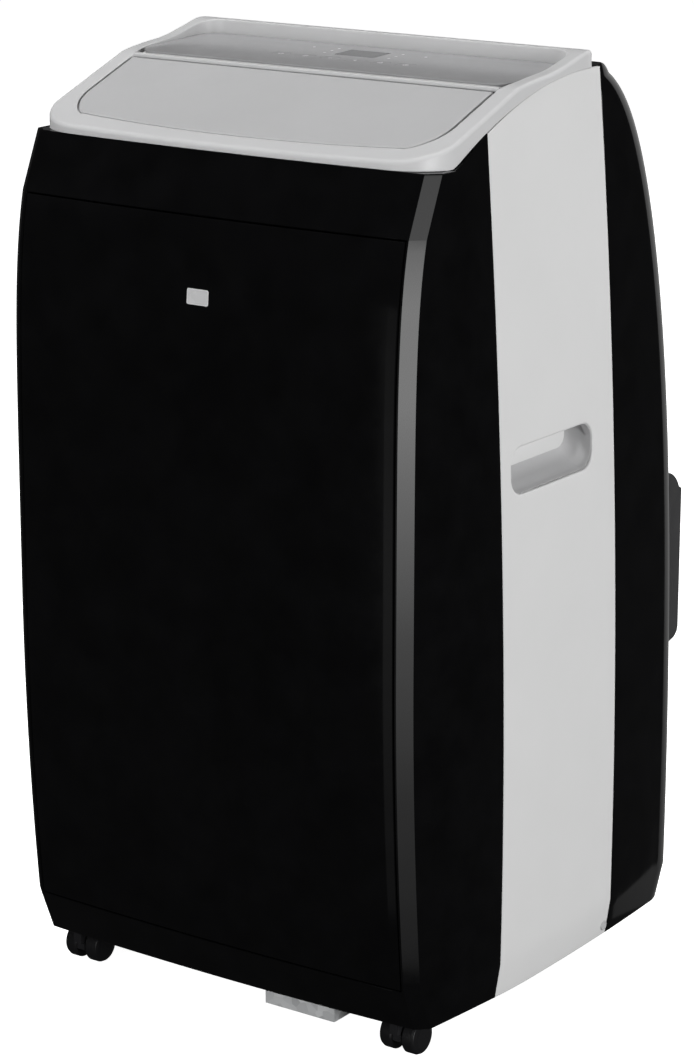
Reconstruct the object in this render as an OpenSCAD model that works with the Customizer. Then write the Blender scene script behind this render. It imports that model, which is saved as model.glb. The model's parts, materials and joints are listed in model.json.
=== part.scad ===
// Portable room air conditioner on twin-wheel casters: gloss black shell, light grey
// side panels and top cover, flap outlet on top, exhaust hose port at the rear.
// The front faces -Y, the floor is z = 0, and the origin is under the middle of the box
// that holds the whole machine, hose port included.

/* [Body] */
// Height over the raised rim of the top cover
total_h = 765; // [755:1:775]
// Width at the widest part of the barrel-shaped shell
body_w = 431; // [425:1:437]
// Depth of the shell without the hose port
body_d = 396; // [390:1:402]
// How far the hose port stands behind the shell
port_depth = 40; // [36:1:46]
// Wall of the moulded shells
wall = 3; // [2.6:0.1:3.4]

/* [Front] */
// Half width of the inset gloss front panel
panel_half = 180; // [172:1:182]
// Parting gap round the front panel
parting_gap = 1; // [0.6:0.1:1.6]
// Height of the crease where the front starts to lean back
crease_z = 652; // [645:1:658]
// Width of the bevel strip along each front corner, measured across
bevel = 9.5; // [8:0.5:11]

/* [Side panels] */
// Front edge of the side panels, from the middle of the shell
side_front = -90; // [-94:1:-86]
// Rear edge of the side panels, from the middle of the shell
side_rear = 75; // [72:1:78]
// Width of the hand grip opening
grip_w = 117; // [105:1:119]
// Height of the hand grip opening
grip_h = 37; // [32:1:40]
// Height of the middle of the hand grip above the floor
grip_z = 460; // [440:1:470]

/* [Top] */
// Length of the outlet flap over its curved front edge
flap_len = 104.5; // [98:0.5:108]
// Half width of the outlet flap
flap_half = 172; // [165:1:173]
// Gap round the outlet flap
flap_gap = 2; // [1.6:0.1:2.6]
// Spacing of the six control keys
key_pitch = 24; // [20:1:25]
// Stroke of a control key
key_stroke = 0.6; // [0.4:0.1:0.8]

/* [Exhaust] */
// Radius of the round bore that takes the exhaust hose end
hose_r = 65; // [60:1:66]
// Middle of the exhaust port to the right of the centre line
port_x = 104; // [100:1:105]
// Middle of the exhaust port above the floor
port_z = 318; // [310:1:325]

/* [Casters] */
// Radius of a caster wheel
wheel_r = 14.5; // [13.5:0.5:14.5]
// Half the distance between left and right caster stems
stem_x = 160; // [150:1:162]
// Distance of the rear caster stems from the centre line
stem_rear_x = 118; // [116:1:120]
// Distance of the caster stems in front of and behind the middle of the shell
stem_y = 154; // [148:1:155]

/* [Hidden] */
$fn = 64;
eps = 0.01;
half_d = body_d / 2;

black = "#101010";
light_grey = "#cfcfcf";
mid_grey = "#bdbdbd";
dark_plastic = "#26282b";
white_plastic = "#e6e6e2";
copper = "#b87333";
steel = "#b9bcc0";

// ---- Shell outline -------------------------------------------------------
// Every shell is a patch of one barrel-shaped skin. The functions give the skin in the
// body's own frame, whose y = 0 is the middle of the shell. o is the depth under the skin.
belly_z = 150;
waist_z = 325;
front_bottom = 29.6;
side_bottom = 36;
foot_crease = 66;
front_top = total_h - 67;
shoulder_z = total_h - 10;
front_bow = 7;
rear_corner = 41;
side_curve = 3.4;

function half_w(z, o) = body_w / 2 - 23.8 * pow((z - belly_z) / 565, 2) - 0.15 * max(0, foot_crease - z) - o;
function front_y(z, o) = o - half_d + (
    z < waist_z ? 13 * pow((waist_z - z) / 269, 2) + 0.3 * max(0, foot_crease - z)
    : z < crease_z ? 13 * pow((z - waist_z) / (crease_z - waist_z), 6)
    : 13 + 20 * (z - crease_z) / (front_top - crease_z));
// Near the top the wall turns from upright to level, so its depth turns from y to z.
function lid_share(z) = min(1, max(0, (z - shoulder_z + 65) / 60));
function rear_y(z, o) = -o * (1 - 0.6 * lid_share(z)) + (z < 300 ? half_d - 0.15 * max(0, foot_crease - z)
    : half_d * pow(1 - pow((z - 300) / (shoulder_z - 300), 2.5), 0.195));
function rear_round(z, o) = min(rear_corner - o, rear_y(z, o) - side_rear - 1);

// The front corner: f ends the front face, v ends the bevel strip.
function bevel_f(z, o) = let (x = panel_half + 2)
    [x - 0.4 * o, front_y(z, 0) + front_bow * pow(x / half_w(z, 0), 2) + 0.92 * o];
function bevel_v(z, o) = let (x = panel_half + 2)
    [x + bevel - 0.85 * o, front_y(z, 0) + front_bow * pow(x / half_w(z, 0), 2) + bevel - 0.5 + 0.53 * o];
function side_x(y, z, o) = let (w = half_w(z, o), v = bevel_v(z, o))
    y < 0 ? w - (w - v[0]) * pow(y / v[1], side_curve) : w - 5 * pow(y / 157, 2);

// Points of the skin by name: side and rear_side take a length along y, front takes a
// share of the front face, corner takes a share of the quarter turn.
function front_pt(u, z, o) = let (f = bevel_f(z, o))
    [u * f[0], front_y(z, o) + (f[1] - front_y(z, o)) * u * u];
function flank_pt(t, z, o) = let (v = bevel_v(z, o), y = side_front + t * (v[1] - side_front))
    [side_x(y, z, o), y];
function rear_side_pt(t, z, o) = let (y = side_rear + t * (rear_y(z, o) - rear_round(z, o) - side_rear))
    [side_x(y, z, o), y];
function corner_pt(t, z, o) = let (
    r = rear_round(z, o),
    a = rear_side_pt(1, z, o),
    b = [a[0] - r, rear_y(z, o)],
    c = [a[0], b[1]],
    w = sqrt(0.5),
    k = (1 - t) * (1 - t) + 2 * w * t * (1 - t) + t * t)
    (a * (1 - t) * (1 - t) + c * 2 * w * t * (1 - t) + b * t * t) / k;

// A column is [kind, value, side of the machine].
function skin(c, z, o) = let (p =
    c[0] == "front" ? front_pt(c[1], z, o)
    : c[0] == "flank" ? flank_pt(c[1], z, o)
    : c[0] == "side" ? [side_x(c[1], z, o), c[1]]
    : c[0] == "rear_side" ? rear_side_pt(c[1], z, o)
    : c[0] == "corner" ? corner_pt(c[1], z, o)
    : [c[1], rear_y(z, o)])
    [c[2] * p[0], p[1], c[0] == "corner" || c[0] == "rear" || c[0] == "rear_side" ? z - o * lid_share(z) : z];

// Upper edge of the black shell and the side panels: level in front, arched at the sides.
function edge_z(y) = max(front_top, total_h - 13.3 - 0.00148 * pow(57 - y, 2));

// A closed shell over a grid of columns and rows. The first row follows foot and the last
// row follows head, one height per column. holes lists [row, row, column, column].
module shell_patch(cols, rows, foot, head, o_out, o_in, holes = []) {
    nr = len(rows);
    nc = len(cols);
    function height(i, j) = i == 0 ? foot[j] : i == nr - 1 ? head[j] : rows[i];
    function cut(i, j) = len([for (h = holes) if (i >= h[0] && i < h[1] && j >= h[2] && j < h[3]) 1]) > 0;
    function solid(i, j) = i >= 0 && j >= 0 && i < nr - 1 && j < nc - 1 && !cut(i, j);
    function at(i, j, side) = side * nr * nc + i * nc + j;
    function quad(a, b, c, d) = [[a, b, c], [a, c, d]];
    used_faces = [for (i = [0 : nr - 2], j = [0 : nc - 2]) if (solid(i, j)) each concat(
        quad(at(i, j, 0), at(i + 1, j, 0), at(i + 1, j + 1, 0), at(i, j + 1, 0)),
        quad(at(i, j, 1), at(i, j + 1, 1), at(i + 1, j + 1, 1), at(i + 1, j, 1)),
        solid(i - 1, j) ? [] : quad(at(i, j, 0), at(i, j + 1, 0), at(i, j + 1, 1), at(i, j, 1)),
        solid(i + 1, j) ? [] : quad(at(i + 1, j + 1, 0), at(i + 1, j, 0), at(i + 1, j, 1), at(i + 1, j
            + 1, 1)),
        solid(i, j - 1) ? [] : quad(at(i + 1, j, 0), at(i, j, 0), at(i, j, 1), at(i + 1, j, 1)),
        solid(i, j + 1) ? [] : quad(at(i, j + 1, 0), at(i + 1, j + 1, 0), at(i + 1, j + 1, 1), at(i, j
            + 1, 1))
    )];
    polyhedron(
        points = [for (o = [o_out, o_in], i = [0 : nr - 1], j = [0 : nc - 1]) skin(cols[j], height(i, j), o)],
        faces = used_faces);
}

// ---- Helpers -------------------------------------------------------------
module placed() translate([0, -port_depth / 2, 0]) children();
module mirrored(side) mirror([side < 0 ? 1 : 0, 0, 0]) children();
module along_x(length) rotate([90, 0, 90]) linear_extrude(length) children();
module along_y(length) rotate([-90, 0, 0]) linear_extrude(length) mirror([0, 1, 0]) children();
module rounded_rect(w, h, r) {
    square([w, h - 2 * r], center = true);
    square([w - 2 * r, h], center = true);
    for (x = [-1, 1], y = [-1, 1]) translate([x * (w / 2 - r), y * (h / 2 - r)]) circle(r);
}
module tube_y(r, length) rotate([-90, 0, 0]) cylinder(r = r, h = length);
module tube_x(r, length) rotate([0, 90, 0]) cylinder(r = r, h = length);

// ---- Front ---------------------------------------------------------------
front_shares = [-1, -panel_half / (panel_half + 2), -0.8, -0.6, -0.4, -0.2, 0,
    0.2, 0.4, 0.6, 0.8, panel_half / (panel_half + 2), 1];
flank_shares = [0, 0.3, 0.6, 0.85, 1];
frame_cols = concat(
    [for (t = flank_shares) ["flank", t, -1]],
    [for (u = front_shares) ["front", u, 1]],
    [for (i = [len(flank_shares) - 1 : -1 : 0]) ["flank", flank_shares[i], 1]]);
frame_rows = [front_bottom, 48, foot_crease, 110, 170, 250, waist_z, 400, 470, 530, 580, 620,
    crease_z, 675, front_top];
// The flanks end higher at the bottom, where the side panels are tucked up.
function flank_foot(t) = side_bottom + (front_bottom - side_bottom) * t * t;

module front_frame() placed() color(black) {
    window = [2, 12, len(flank_shares) + 1, len(flank_shares) + len(front_shares) - 2];
    shell_patch(frame_cols, frame_rows,
        [for (c = frame_cols) c[0] == "flank" ? flank_foot(c[1]) : front_bottom],
        [for (c = frame_cols) edge_z(skin(c, front_top, 0)[1])],
        0, wall, [window]);
}

receiver_z = 591.7;
receiver_w = 20.5;
receiver_h = 12.4;
module front_panel() placed() color(black) {
    edge = (panel_half - parting_gap) / (panel_half + 2);
    slot = (receiver_w / 2 + 0.1) / (panel_half + 2);
    shares = [-edge, -0.8, -0.6, -0.4, -0.2, -slot, slot, 0.2, 0.4, 0.6, 0.8, edge];
    cols = [for (u = shares) ["front", u, 1]];
    rows = [foot_crease + parting_gap, 110, 170, 250, waist_z, 400, 470, 530,
        receiver_z - receiver_h / 2 - 0.1, receiver_z + receiver_h / 2 + 0.1, 625, crease_z - parting_gap];
    shell_patch(cols, rows, [for (c = cols) rows[0]], [for (c = cols) rows[len(rows) - 1]],
        0, wall - 0.2, [[8, 9, 5, 6]]);
    // Clip rails on the back of the panel, inside the window of the frame.
    for (x = [-1, 1], z = [140, 330, 540])
        translate([x * (panel_half - 6) - 4, front_y(z, 0) + front_bow + 0.5, z - 15]) cube([8, 6, 30]);
}

module receiver_window() placed() color(mid_grey)
    translate([0, front_y(receiver_z, 0) + 0.1, receiver_z]) along_y(3) rounded_rect(receiver_w,
        receiver_h, 1.6);

// ---- Side panels and hand grips ------------------------------------------
side_ys = [side_front, grip_front(), -30, 0, grip_rear(), 58, side_rear];
function grip_front() = -76;
function grip_rear() = grip_front() + grip_w;

screw_y = 69;
screw_z = 45;
module side_panel(side) placed() color(light_grey) mirrored(side) difference() {
    cols = [for (y = side_ys) ["side", y, 1]];
    rows = [side_bottom, 90, belly_z, 230, 310, 380, grip_z - grip_h / 2, grip_z + grip_h / 2,
        540, 600, 650, 690, total_h];
    shell_patch(cols, rows, [for (c = cols) side_bottom],
        [for (c = cols) edge_z(c[1]) - 0.4], 0, wall, [[6, 7, 1, 4]]);
    translate([side_x(screw_y, screw_z, 0) - 20, screw_y, screw_z]) tube_x(4.3, 40);
}
module side_panel_left() side_panel(-1);
module side_panel_right() side_panel(1);

grip_depth = 34;
module handle_pocket(side) placed() color(mid_grey) mirrored(side) {
    mouth_x = side_x(grip_front(), grip_z, 0) - 1.2;
    lip = 8;
    back_x = mouth_x - grip_depth;
    low = grip_z - grip_h / 2 + 0.3;
    high = grip_z + grip_h / 2 - 0.3;
    w = 2.4;
    difference() {
        translate([0, grip_front() + 0.3, 0]) rotate([90, 0, 0]) mirror([0, 0, 1])
            linear_extrude(grip_w - 0.6)
            polygon([[mouth_x, low], [mouth_x, high], [mouth_x - lip, high], [mouth_x - lip, high + 16],
                [back_x, high + 16], [back_x, low + 8], [back_x + 8, low]]);
        translate([0, grip_front() + 0.3 + w, 0]) rotate([90, 0, 0]) mirror([0, 0, 1])
            linear_extrude(grip_w - 0.6 - 2 * w)
            polygon([[mouth_x + 1, low + w], [mouth_x + 1, high - w], [mouth_x - lip - w, high - w],
                [mouth_x - lip - w, high + 16 - w], [back_x + w, high + 16 - w],
                [back_x + w, low + 8 + w], [back_x + 8 + w, low + w]]);
    }
}
module handle_pocket_left() handle_pocket(-1);
module handle_pocket_right() handle_pocket(1);

// ---- Rear ----------------------------------------------------------------
grille_half = 140;
upper_low = 455;
upper_high = 690;
lower_low = 95;
lower_high = 400;
rear_xs = [grille_half, 100, 50, 0, -50, -100, -grille_half];
corner_shares = [0, 0.2, 0.4, 0.6, 0.8, 1];
rear_cols = concat(
    [["rear_side", 0, 1], ["rear_side", 0.5, 1]],
    [for (t = corner_shares) ["corner", t, 1]],
    [for (x = rear_xs) ["rear", x, 1]],
    [for (i = [len(corner_shares) - 1 : -1 : 0]) ["corner", corner_shares[i], -1]],
    [["rear_side", 0.5, -1], ["rear_side", 0, -1]]);
rear_rows = [side_bottom, foot_crease, lower_low, belly_z, 230, 310, lower_high, upper_low, 520, 580,
    630, upper_high - 25, upper_high, 715, 735, total_h - 18, total_h - 14, total_h - 12.4, total_h - 11.44];
port_half = 76;
port_high = 78;
spout_low = [-90, 50];
spout_high = [60, 424];
gland = [-150, 76];
module rear_cover() placed() color(black) difference() {
    first = 2 + len(corner_shares);
    shell_patch(rear_cols, rear_rows, [for (c = rear_cols) side_bottom],
        [for (c = rear_cols) rear_rows[len(rear_rows) - 1]], 0, wall,
        [[7, 12, first, first + 6], [2, 6, first + 3, first + 6]]);
    translate([port_x - port_half - 0.4, 120, port_z - port_high - 0.4])
        cube([2 * port_half + 0.8, 120, 2 * port_high + 0.8]);
    for (s = [spout_low, spout_high]) translate([s[0], 150, s[1]]) tube_y(9.3, 80);
    translate([gland[0], 100, gland[1]]) tube_y(9.2, 120);
}

module exhaust_port() placed() color(black) {
    difference() {
        intersection() {
            translate([port_x, 150, port_z]) along_y(half_d + port_depth - 2.4 - 150)
                rounded_rect(2 * port_half, 2 * port_high, 7);
            // The hood rounds over at the top and is cut back at the foot.
            translate([port_x - port_half, 0, 0]) along_x(2 * port_half) union() {
                translate([150, port_z - port_high + 12])
                    square([half_d + port_depth - 2.4 - 150, 2 * port_high - 36]);
                translate([150, port_z - port_high]) square([50, 2 * port_high]);
                translate([half_d + 2, port_z + port_high - 36]) circle(35.6);
                polygon([[198, port_z - port_high], [half_d + port_depth - 9, port_z - port_high + 8],
                    [half_d + port_depth - 2.4, port_z - port_high + 16], [198, port_z]]);
            }
        }
        translate([port_x, 140, port_z - 2]) tube_y(69.6, 120);
        translate([port_x, half_d + 18, port_z - 5]) along_y(60) rounded_rect(2 * port_half - 5, 136, 6);
    }
}

module hose_adaptor() placed() color(dark_plastic) {
    face_y = half_d + port_depth;
    difference() {
        union() {
            translate([port_x, face_y - 8, port_z - 5]) along_y(8) rounded_rect(2 * port_half - 6, 135, 5.6);
            translate([port_x, face_y - 30, port_z - 2]) tube_y(hose_r + 3.4, 26);
        }
        translate([port_x, face_y - 40, port_z - 2]) tube_y(hose_r, 60);
    }
}

// A grille that follows the rear skin: two side rails, top and bottom bars, and slats.
function rear_profile(low, high, o, n) = [for (i = [0 : n]) let (z = low + (high - low) * i / n)
    [rear_y(z, o), z]];
module rear_strip(low, high, o_out, o_in) polygon(concat(rear_profile(low, high, o_out, 8),
    [for (i = [8 : -1 : 0]) rear_profile(low, high, o_in, 8)[i]]));
module grille(left, right, low, high, slats, posts) {
    for (x = [left, right - 8]) translate([x, 0, 0]) along_x(8) rear_strip(low, high, 0.3, 10);
    for (i = [1 : posts]) translate([left + (right - left) * i / (posts + 1) - 2, 0, 0])
        along_x(4) rear_strip(low, high, 3, 9);
    for (z = [low, high - 7]) translate([left + 4, 0, 0]) along_x(right - left - 8)
        rear_strip(z, z + 7, 0.3, 10);
    for (i = [1 : slats]) let (z = low + 7 + (high - low - 14) * (i - 0.5) / slats)
        translate([left + 4, rear_y(z, 8), z - 1.4]) cube([right - left - 8, 7, 2.8]);
}
module filter_sheet(left, right, low, high) {
    for (x = [left, right - 6]) translate([x, 0, 0]) along_x(6) rear_strip(low, high, 10.6, 14);
    for (z = [low, high - 6]) translate([left + 3, 0, 0]) along_x(right - left - 6)
        rear_strip(z, z + 6, 10.6, 14);
    translate([left + 3, 0, 0]) along_x(right - left - 6) rear_strip(low + 3, high - 3, 11.8, 12.8);
}
module upper_grille() placed() color(black)
    grille(-grille_half + 1, grille_half - 1, upper_low + 1, upper_high - 1, 24, 3);
module upper_filter() placed() color("#7f858b")
    filter_sheet(-grille_half + 6, grille_half - 6, upper_low + 5, upper_high - 5);
module lower_grille() placed() color(black)
    grille(-grille_half + 1, -1, lower_low + 1, lower_high - 1, 32, 1);
module lower_filter() placed() color("#7f858b")
    filter_sheet(-grille_half + 5, -5, lower_low + 5, lower_high - 5);

// ---- Top cover -----------------------------------------------------------
cover_half = 190.5;
cover_front = -166;
cover_rear = side_rear - 0.4;
slope = atan(0.37);
deck_tilt = 2.6;
deck_z = total_h - 15.8;
rim_z = total_h;
function ramp_z(y) = total_h - 0.2 + 0.37 * y;
function deck_at(y) = deck_z + y * tan(deck_tilt);

module cover_outline(inset) {
    w = cover_half - inset;
    front = cover_front + inset;
    rear = cover_rear - inset;
    intersection() {
        union() {
            translate([-w, front + 30]) square([2 * w, rear - front - 52]);
            translate([-w + 30, front]) square([2 * w - 60, 60]);
            translate([-w + 22, rear - 60]) square([2 * w - 44, 60]);
            for (s = [-1, 1]) {
                translate([s * (w - 30), front + 30]) circle(30);
                translate([s * (w - 22), rear - 22]) circle(22);
            }
        }
        bow_r = (pow(w, 2) + pow(front_bow, 2)) / (2 * front_bow);
        translate([0, front + bow_r]) circle(bow_r, $fn = 256);
    }
}
edge_ys = [for (i = [0 : 12]) -130 + (cover_rear + 125) * i / 12];
module cover_profile() polygon(concat(
    [[-180, front_top], [-180, front_top + 4], [cover_front + 1, front_top + 4.6], [cover_front + 5,
        ramp_z(cover_front + 5)]],
    [[-46, ramp_z(-46)], [7, total_h - 11], [34, total_h - 4.6], [52, rim_z], [60, rim_z], [76, total_h
        - 14.4],
        [76, total_h - 17], [edge_ys[12], total_h - 17]],
    [for (i = [12 : -1 : 0]) [edge_ys[i], edge_z(edge_ys[i]) + 0.3]]));
module cover_inside() polygon([[-170, front_top - 10], [-170, front_top + 1], [cover_front + 7,
    ramp_z(cover_front + 5) - 4],
    [-44, ramp_z(-46) - 4], [60, deck_at(60) - 3], [cover_rear - 4, deck_at(60) - 4],
    [cover_rear - 4, total_h - 80], [-130, front_top - 20]]);

hinge_y = -54.75;
hinge_z = total_h - 24.7;
barrel_r = 4;
pin_r = 2.5;
module in_flap_frame() translate([0, hinge_y, hinge_z]) rotate([slope, 0, 0]) children();
module flap_outline(grow) {
    half = flap_half + grow;
    front = -flap_len + barrel_r - grow;
    r = 45;
    bow = 8;
    bow_r = (pow(half - 28, 2) + pow(bow, 2)) / (2 * bow);
    intersection() {
        union() {
            translate([-half, front + r]) square([2 * half, -front - r + grow]);
            translate([-half + r, front]) square([2 * half - 2 * r, r + 1]);
            for (s = [-1, 1]) translate([s * (half - r), front + r]) circle(r);
        }
        translate([0, front + bow_r]) circle(bow_r, $fn = 256);
    }
}
deck_half = 178;
board_half = 78;
module in_deck_frame() translate([0, 0, deck_z]) rotate([deck_tilt, 0, 0]) children();

module top_cover() placed() color(mid_grey) difference() {
    union() {
        difference() {
            intersection() {
                translate([0, 0, front_top - 5]) linear_extrude(100) cover_outline(0);
                translate([-cover_half - 5, 0, 0]) along_x(2 * cover_half + 10) cover_profile();
            }
            intersection() {
                translate([0, 0, front_top - 30]) linear_extrude(100) cover_outline(wall);
                translate([-cover_half - 5, 0, 0]) along_x(2 * cover_half + 10) cover_inside();
            }
        }
        // Ears under the skin that carry the pins of the flap.
        for (s = [-1, 1]) translate([s * (flap_half + flap_gap + 4) - 5, hinge_y - 7, hinge_z - 7])
            cube([10, 14, 12.5]);
    }
    // Mouth of the outlet, with room for the hinge barrel.
    in_flap_frame() {
        translate([0, 0, -30]) linear_extrude(60) intersection() {
            flap_outline(flap_gap);
            translate([-200, -200]) square([400, 200]);
        }
        translate([-flap_half - flap_gap, 0, 0]) along_x(2 * (flap_half + flap_gap)) union() {
            circle(barrel_r + 0.5);
            translate([-barrel_r, 0]) square([2 * barrel_r + 0.4, 20]);
        }
    }
    translate([-flap_half - 9, hinge_y, hinge_z]) tube_x(pin_r + 0.06, 2 * flap_half + 18);
    // Recessed control deck.
    in_deck_frame() {
        translate([0, 4.5, 0]) linear_extrude(30) rounded_rect(2 * deck_half, 97, 18);
        translate([0, 9, -20]) linear_extrude(40) rounded_rect(2 * board_half, 64, 3);
    }
}

module outlet_flap() placed() color("#b4b4b4") {
    in_flap_frame() {
        translate([0, 0, barrel_r - 4]) linear_extrude(4) intersection() {
            flap_outline(0);
            translate([-200, -200]) square([400, 200]);
        }
        translate([-flap_half, 0, 0]) tube_x(barrel_r, 2 * flap_half);
    }
    translate([-flap_half - 8, hinge_y, hinge_z]) tube_x(pin_r, 2 * flap_half + 16);
}

// ---- Controls ------------------------------------------------------------
key_y = -5;
key_w = 15;
key_d = 9;
key_clear = 0.3;
panel_t = 1.6;
display_w = 39;
display_d = 24;
display_y = 22.5;
function key_x(i) = (i - 2.5) * key_pitch;
lamp_places = concat([for (s = [-1, 1], y = [14, 24, 34]) [s * 31, y]], [for (s = [-1, 1]) [s * 54, 32]]);

module control_panel() placed() color("#9a9a9a") in_deck_frame() difference() {
    translate([0, 4.5, eps]) linear_extrude(panel_t) rounded_rect(2 * deck_half - 1, 96, 17.5);
    for (i = [0 : 5]) translate([key_x(i), key_y, -1]) linear_extrude(5)
        rounded_rect(key_w + 2 * key_clear, key_d + 2 * key_clear, 2.3);
    translate([0, display_y, -1]) linear_extrude(5) rounded_rect(display_w + 0.2, display_d + 0.2, 1.6);
    for (p = lamp_places) translate([p[0], p[1], -1]) cylinder(r = 1.3, h = 5);
}
module display_window() placed() color("#4a4d50") in_deck_frame()
    translate([0, display_y, -1]) linear_extrude(panel_t + 1.1) rounded_rect(display_w, display_d, 1.5);
module indicator_lamps() placed() color("#f0f0f0") in_deck_frame()
    for (p = lamp_places) translate([p[0], p[1], -2]) cylinder(r = 1.2, h = panel_t + 2.1);
module key(i) placed() color("#a6a6a6") in_deck_frame() translate([key_x(i), key_y, 0]) {
    translate([0, 0, -0.8]) linear_extrude(panel_t + 0.8) rounded_rect(key_w, key_d, 2);
    translate([0, 0, -1.8]) linear_extrude(1.2) rounded_rect(key_w + 3, key_d + 3, 2);
    translate([0, 0, -3]) cylinder(r = 2, h = 2);
}
module key_power() key(0);
module key_mode() key(1);
module key_down() key(2);
module key_up() key(3);
module key_fan() key(4);
module key_timer() key(5);
module control_board() placed() color("#2f6b3a") in_deck_frame() {
    translate([0, 9, -9.6]) linear_extrude(1.6) rounded_rect(2 * board_half - 8, 58, 2);
    for (i = [0 : 5]) translate([key_x(i), key_y, -8]) {
        translate([-3, -3, -eps]) cube([6, 6, 3.4]);
        cylinder(r = 1.7, h = 4.2);
    }
    for (x = [-66, 66], y = [-12, 30]) translate([x, y, -8 - eps]) cylinder(r = 3, h = 5);
    translate([-17, display_y - 9, -8 - eps]) cube([34, 18, 5]);
}

// ---- Outlet duct and vanes -----------------------------------------------
duct_half = 164;
duct_front = -142;
duct_rear = -66;
throat_low = 650;
vane_z = total_h - 86;
vane_low = -12;
vane_high = 17;
link_drop = 22;
link_y = -104;
peg_r = 1.4;
function vane_x(i) = -120 + 80 * i;

module outlet_duct() placed() color(dark_plastic) difference() {
    union() {
        // Straight throat, cut to the slope of the flap.
        intersection() {
            translate([-duct_half, duct_front, throat_low]) cube([2 * duct_half, duct_rear - duct_front, 90]);
            translate([-duct_half - 1, 0, 0]) along_x(2 * duct_half + 2)
                polygon([[duct_front - 1, throat_low - 1], [duct_front - 1, ramp_z(duct_front) - 6.5],
                    [duct_rear + 1, ramp_z(duct_rear) - 6.5], [duct_rear + 1, throat_low - 1]]);
        }
        translate([0, duct_front, 0]) along_y(duct_rear - duct_front)
            polygon([[-duct_half, throat_low + eps], [duct_half, throat_low + eps], [78, 618], [-78, 618]]);
    }
    translate([-duct_half + 2.4, duct_front + 2.4, throat_low])
        cube([2 * duct_half - 4.8, duct_rear - duct_front - 4.8, 90]);
    translate([0, duct_front + 2.4, 0]) along_y(duct_rear - duct_front - 4.8)
        polygon([[-duct_half + 2.4, throat_low + 2 * eps], [duct_half - 2.4, throat_low + 2 * eps],
            [76, 616], [-76, 616]]);
    for (i = [0 : 3]) translate([vane_x(i), duct_front - 5, vane_z]) tube_y(1.56, 90);
}
module vane(i) placed() color("#3a3d40") translate([vane_x(i), 0, vane_z]) {
    depth = duct_rear - duct_front - 6.4;
    translate([-0.9, duct_front + 3.2, vane_low]) cube([1.8, depth, vane_high - vane_low]);
    translate([0, duct_front + 0.2, 0]) tube_y(1.5, duct_rear - duct_front - 0.4);
    translate([0, duct_front + 3.2, 0]) tube_y(2.6, depth);
    translate([-0.9, link_y - 3, -link_drop - 1]) cube([1.8, 2.4, link_drop + vane_low + 1.5]);
    translate([0, link_y - 3, -link_drop]) tube_y(peg_r, 10);
}
module vane_1() vane(0);
module vane_2() vane(1);
module vane_3() vane(2);
module vane_4() vane(3);
module vane_link() placed() color(dark_plastic) difference() {
    translate([vane_x(0) - 9, link_y, vane_z - link_drop - 7]) cube([vane_x(3) - vane_x(0) + 18, 4, 15]);
    for (i = [0 : 3]) translate([vane_x(i), link_y - 1, vane_z - link_drop + 1.6]) along_y(6)
        rounded_rect(2 * peg_r + 2.2, 8.6, 2.4);
}
module flap_motor() placed() color(white_plastic) {
    translate([flap_half - 1, hinge_y - 26, hinge_z - 30]) tube_x(9, 9);
    translate([flap_half - 1, hinge_y - 31, hinge_z - 40]) cube([5, 10, 10]);
}

// ---- Base ----------------------------------------------------------------
tray_z = 34;
tray_top = 64;
// The rear casters stand further in than the front ones.
function stem_at(y) = y < 0 ? stem_x : stem_rear_x;
tray_half = 192;
tray_front = -163;
tray_rear = 186;
axle_trail = 9;
stem_r = 5;
rail_x = 33.5;
rail_w = 68;
module base_tray() placed() color(dark_plastic) difference() {
    union() {
        difference() {
            translate([0, (tray_front + tray_rear) / 2, tray_z]) linear_extrude(tray_top - tray_z)
                rounded_rect(2 * tray_half, tray_rear - tray_front, 26);
            translate([0, (tray_front + tray_rear) / 2, tray_z + wall]) linear_extrude(tray_top)
                rounded_rect(2 * tray_half - 2 * wall, tray_rear - tray_front - 2 * wall, 23);
        }
        for (x = [-1, 1], y = [-1, 1]) translate([x * stem_at(y), y * stem_y, tray_z + eps]) cylinder(r =
            9, h = 27);
        // Ribs that stiffen the pan.
        for (x = [-20, 20]) translate([x - 1.2, tray_front + 3.4, tray_z + 1]) cube([2.4, tray_rear -
            tray_front - 6, 10]);
        translate([spout_low[0], tray_rear - 4, spout_low[1]]) tube_y(9, half_d + 12 - tray_rear);
    }
    for (x = [-1, 1], y = [-1, 1]) translate([x * stem_at(y), y * stem_y, tray_z - 1]) cylinder(r = stem_r
        + 0.06, h = 25);
    translate([spout_low[0], tray_rear - 10, spout_low[1]]) tube_y(6, 60);
}
module chassis_rail() placed() color(steel) {
    translate([rail_x, -160, 13]) cube([rail_w, 284, 1.6]);
    for (x = [rail_x, rail_x + rail_w - 1.6]) translate([x, -160, 13]) cube([1.6, 284, tray_z - 13.4]);
    for (y = [-160, 122.4]) translate([rail_x, y, 13]) cube([rail_w, 1.6, 14]);
    for (s = [0, 1]) translate([rail_x - 12 + s * (rail_w + 12), -130, tray_z - 2]) cube([12.01, 240, 1.6]);
}

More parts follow.
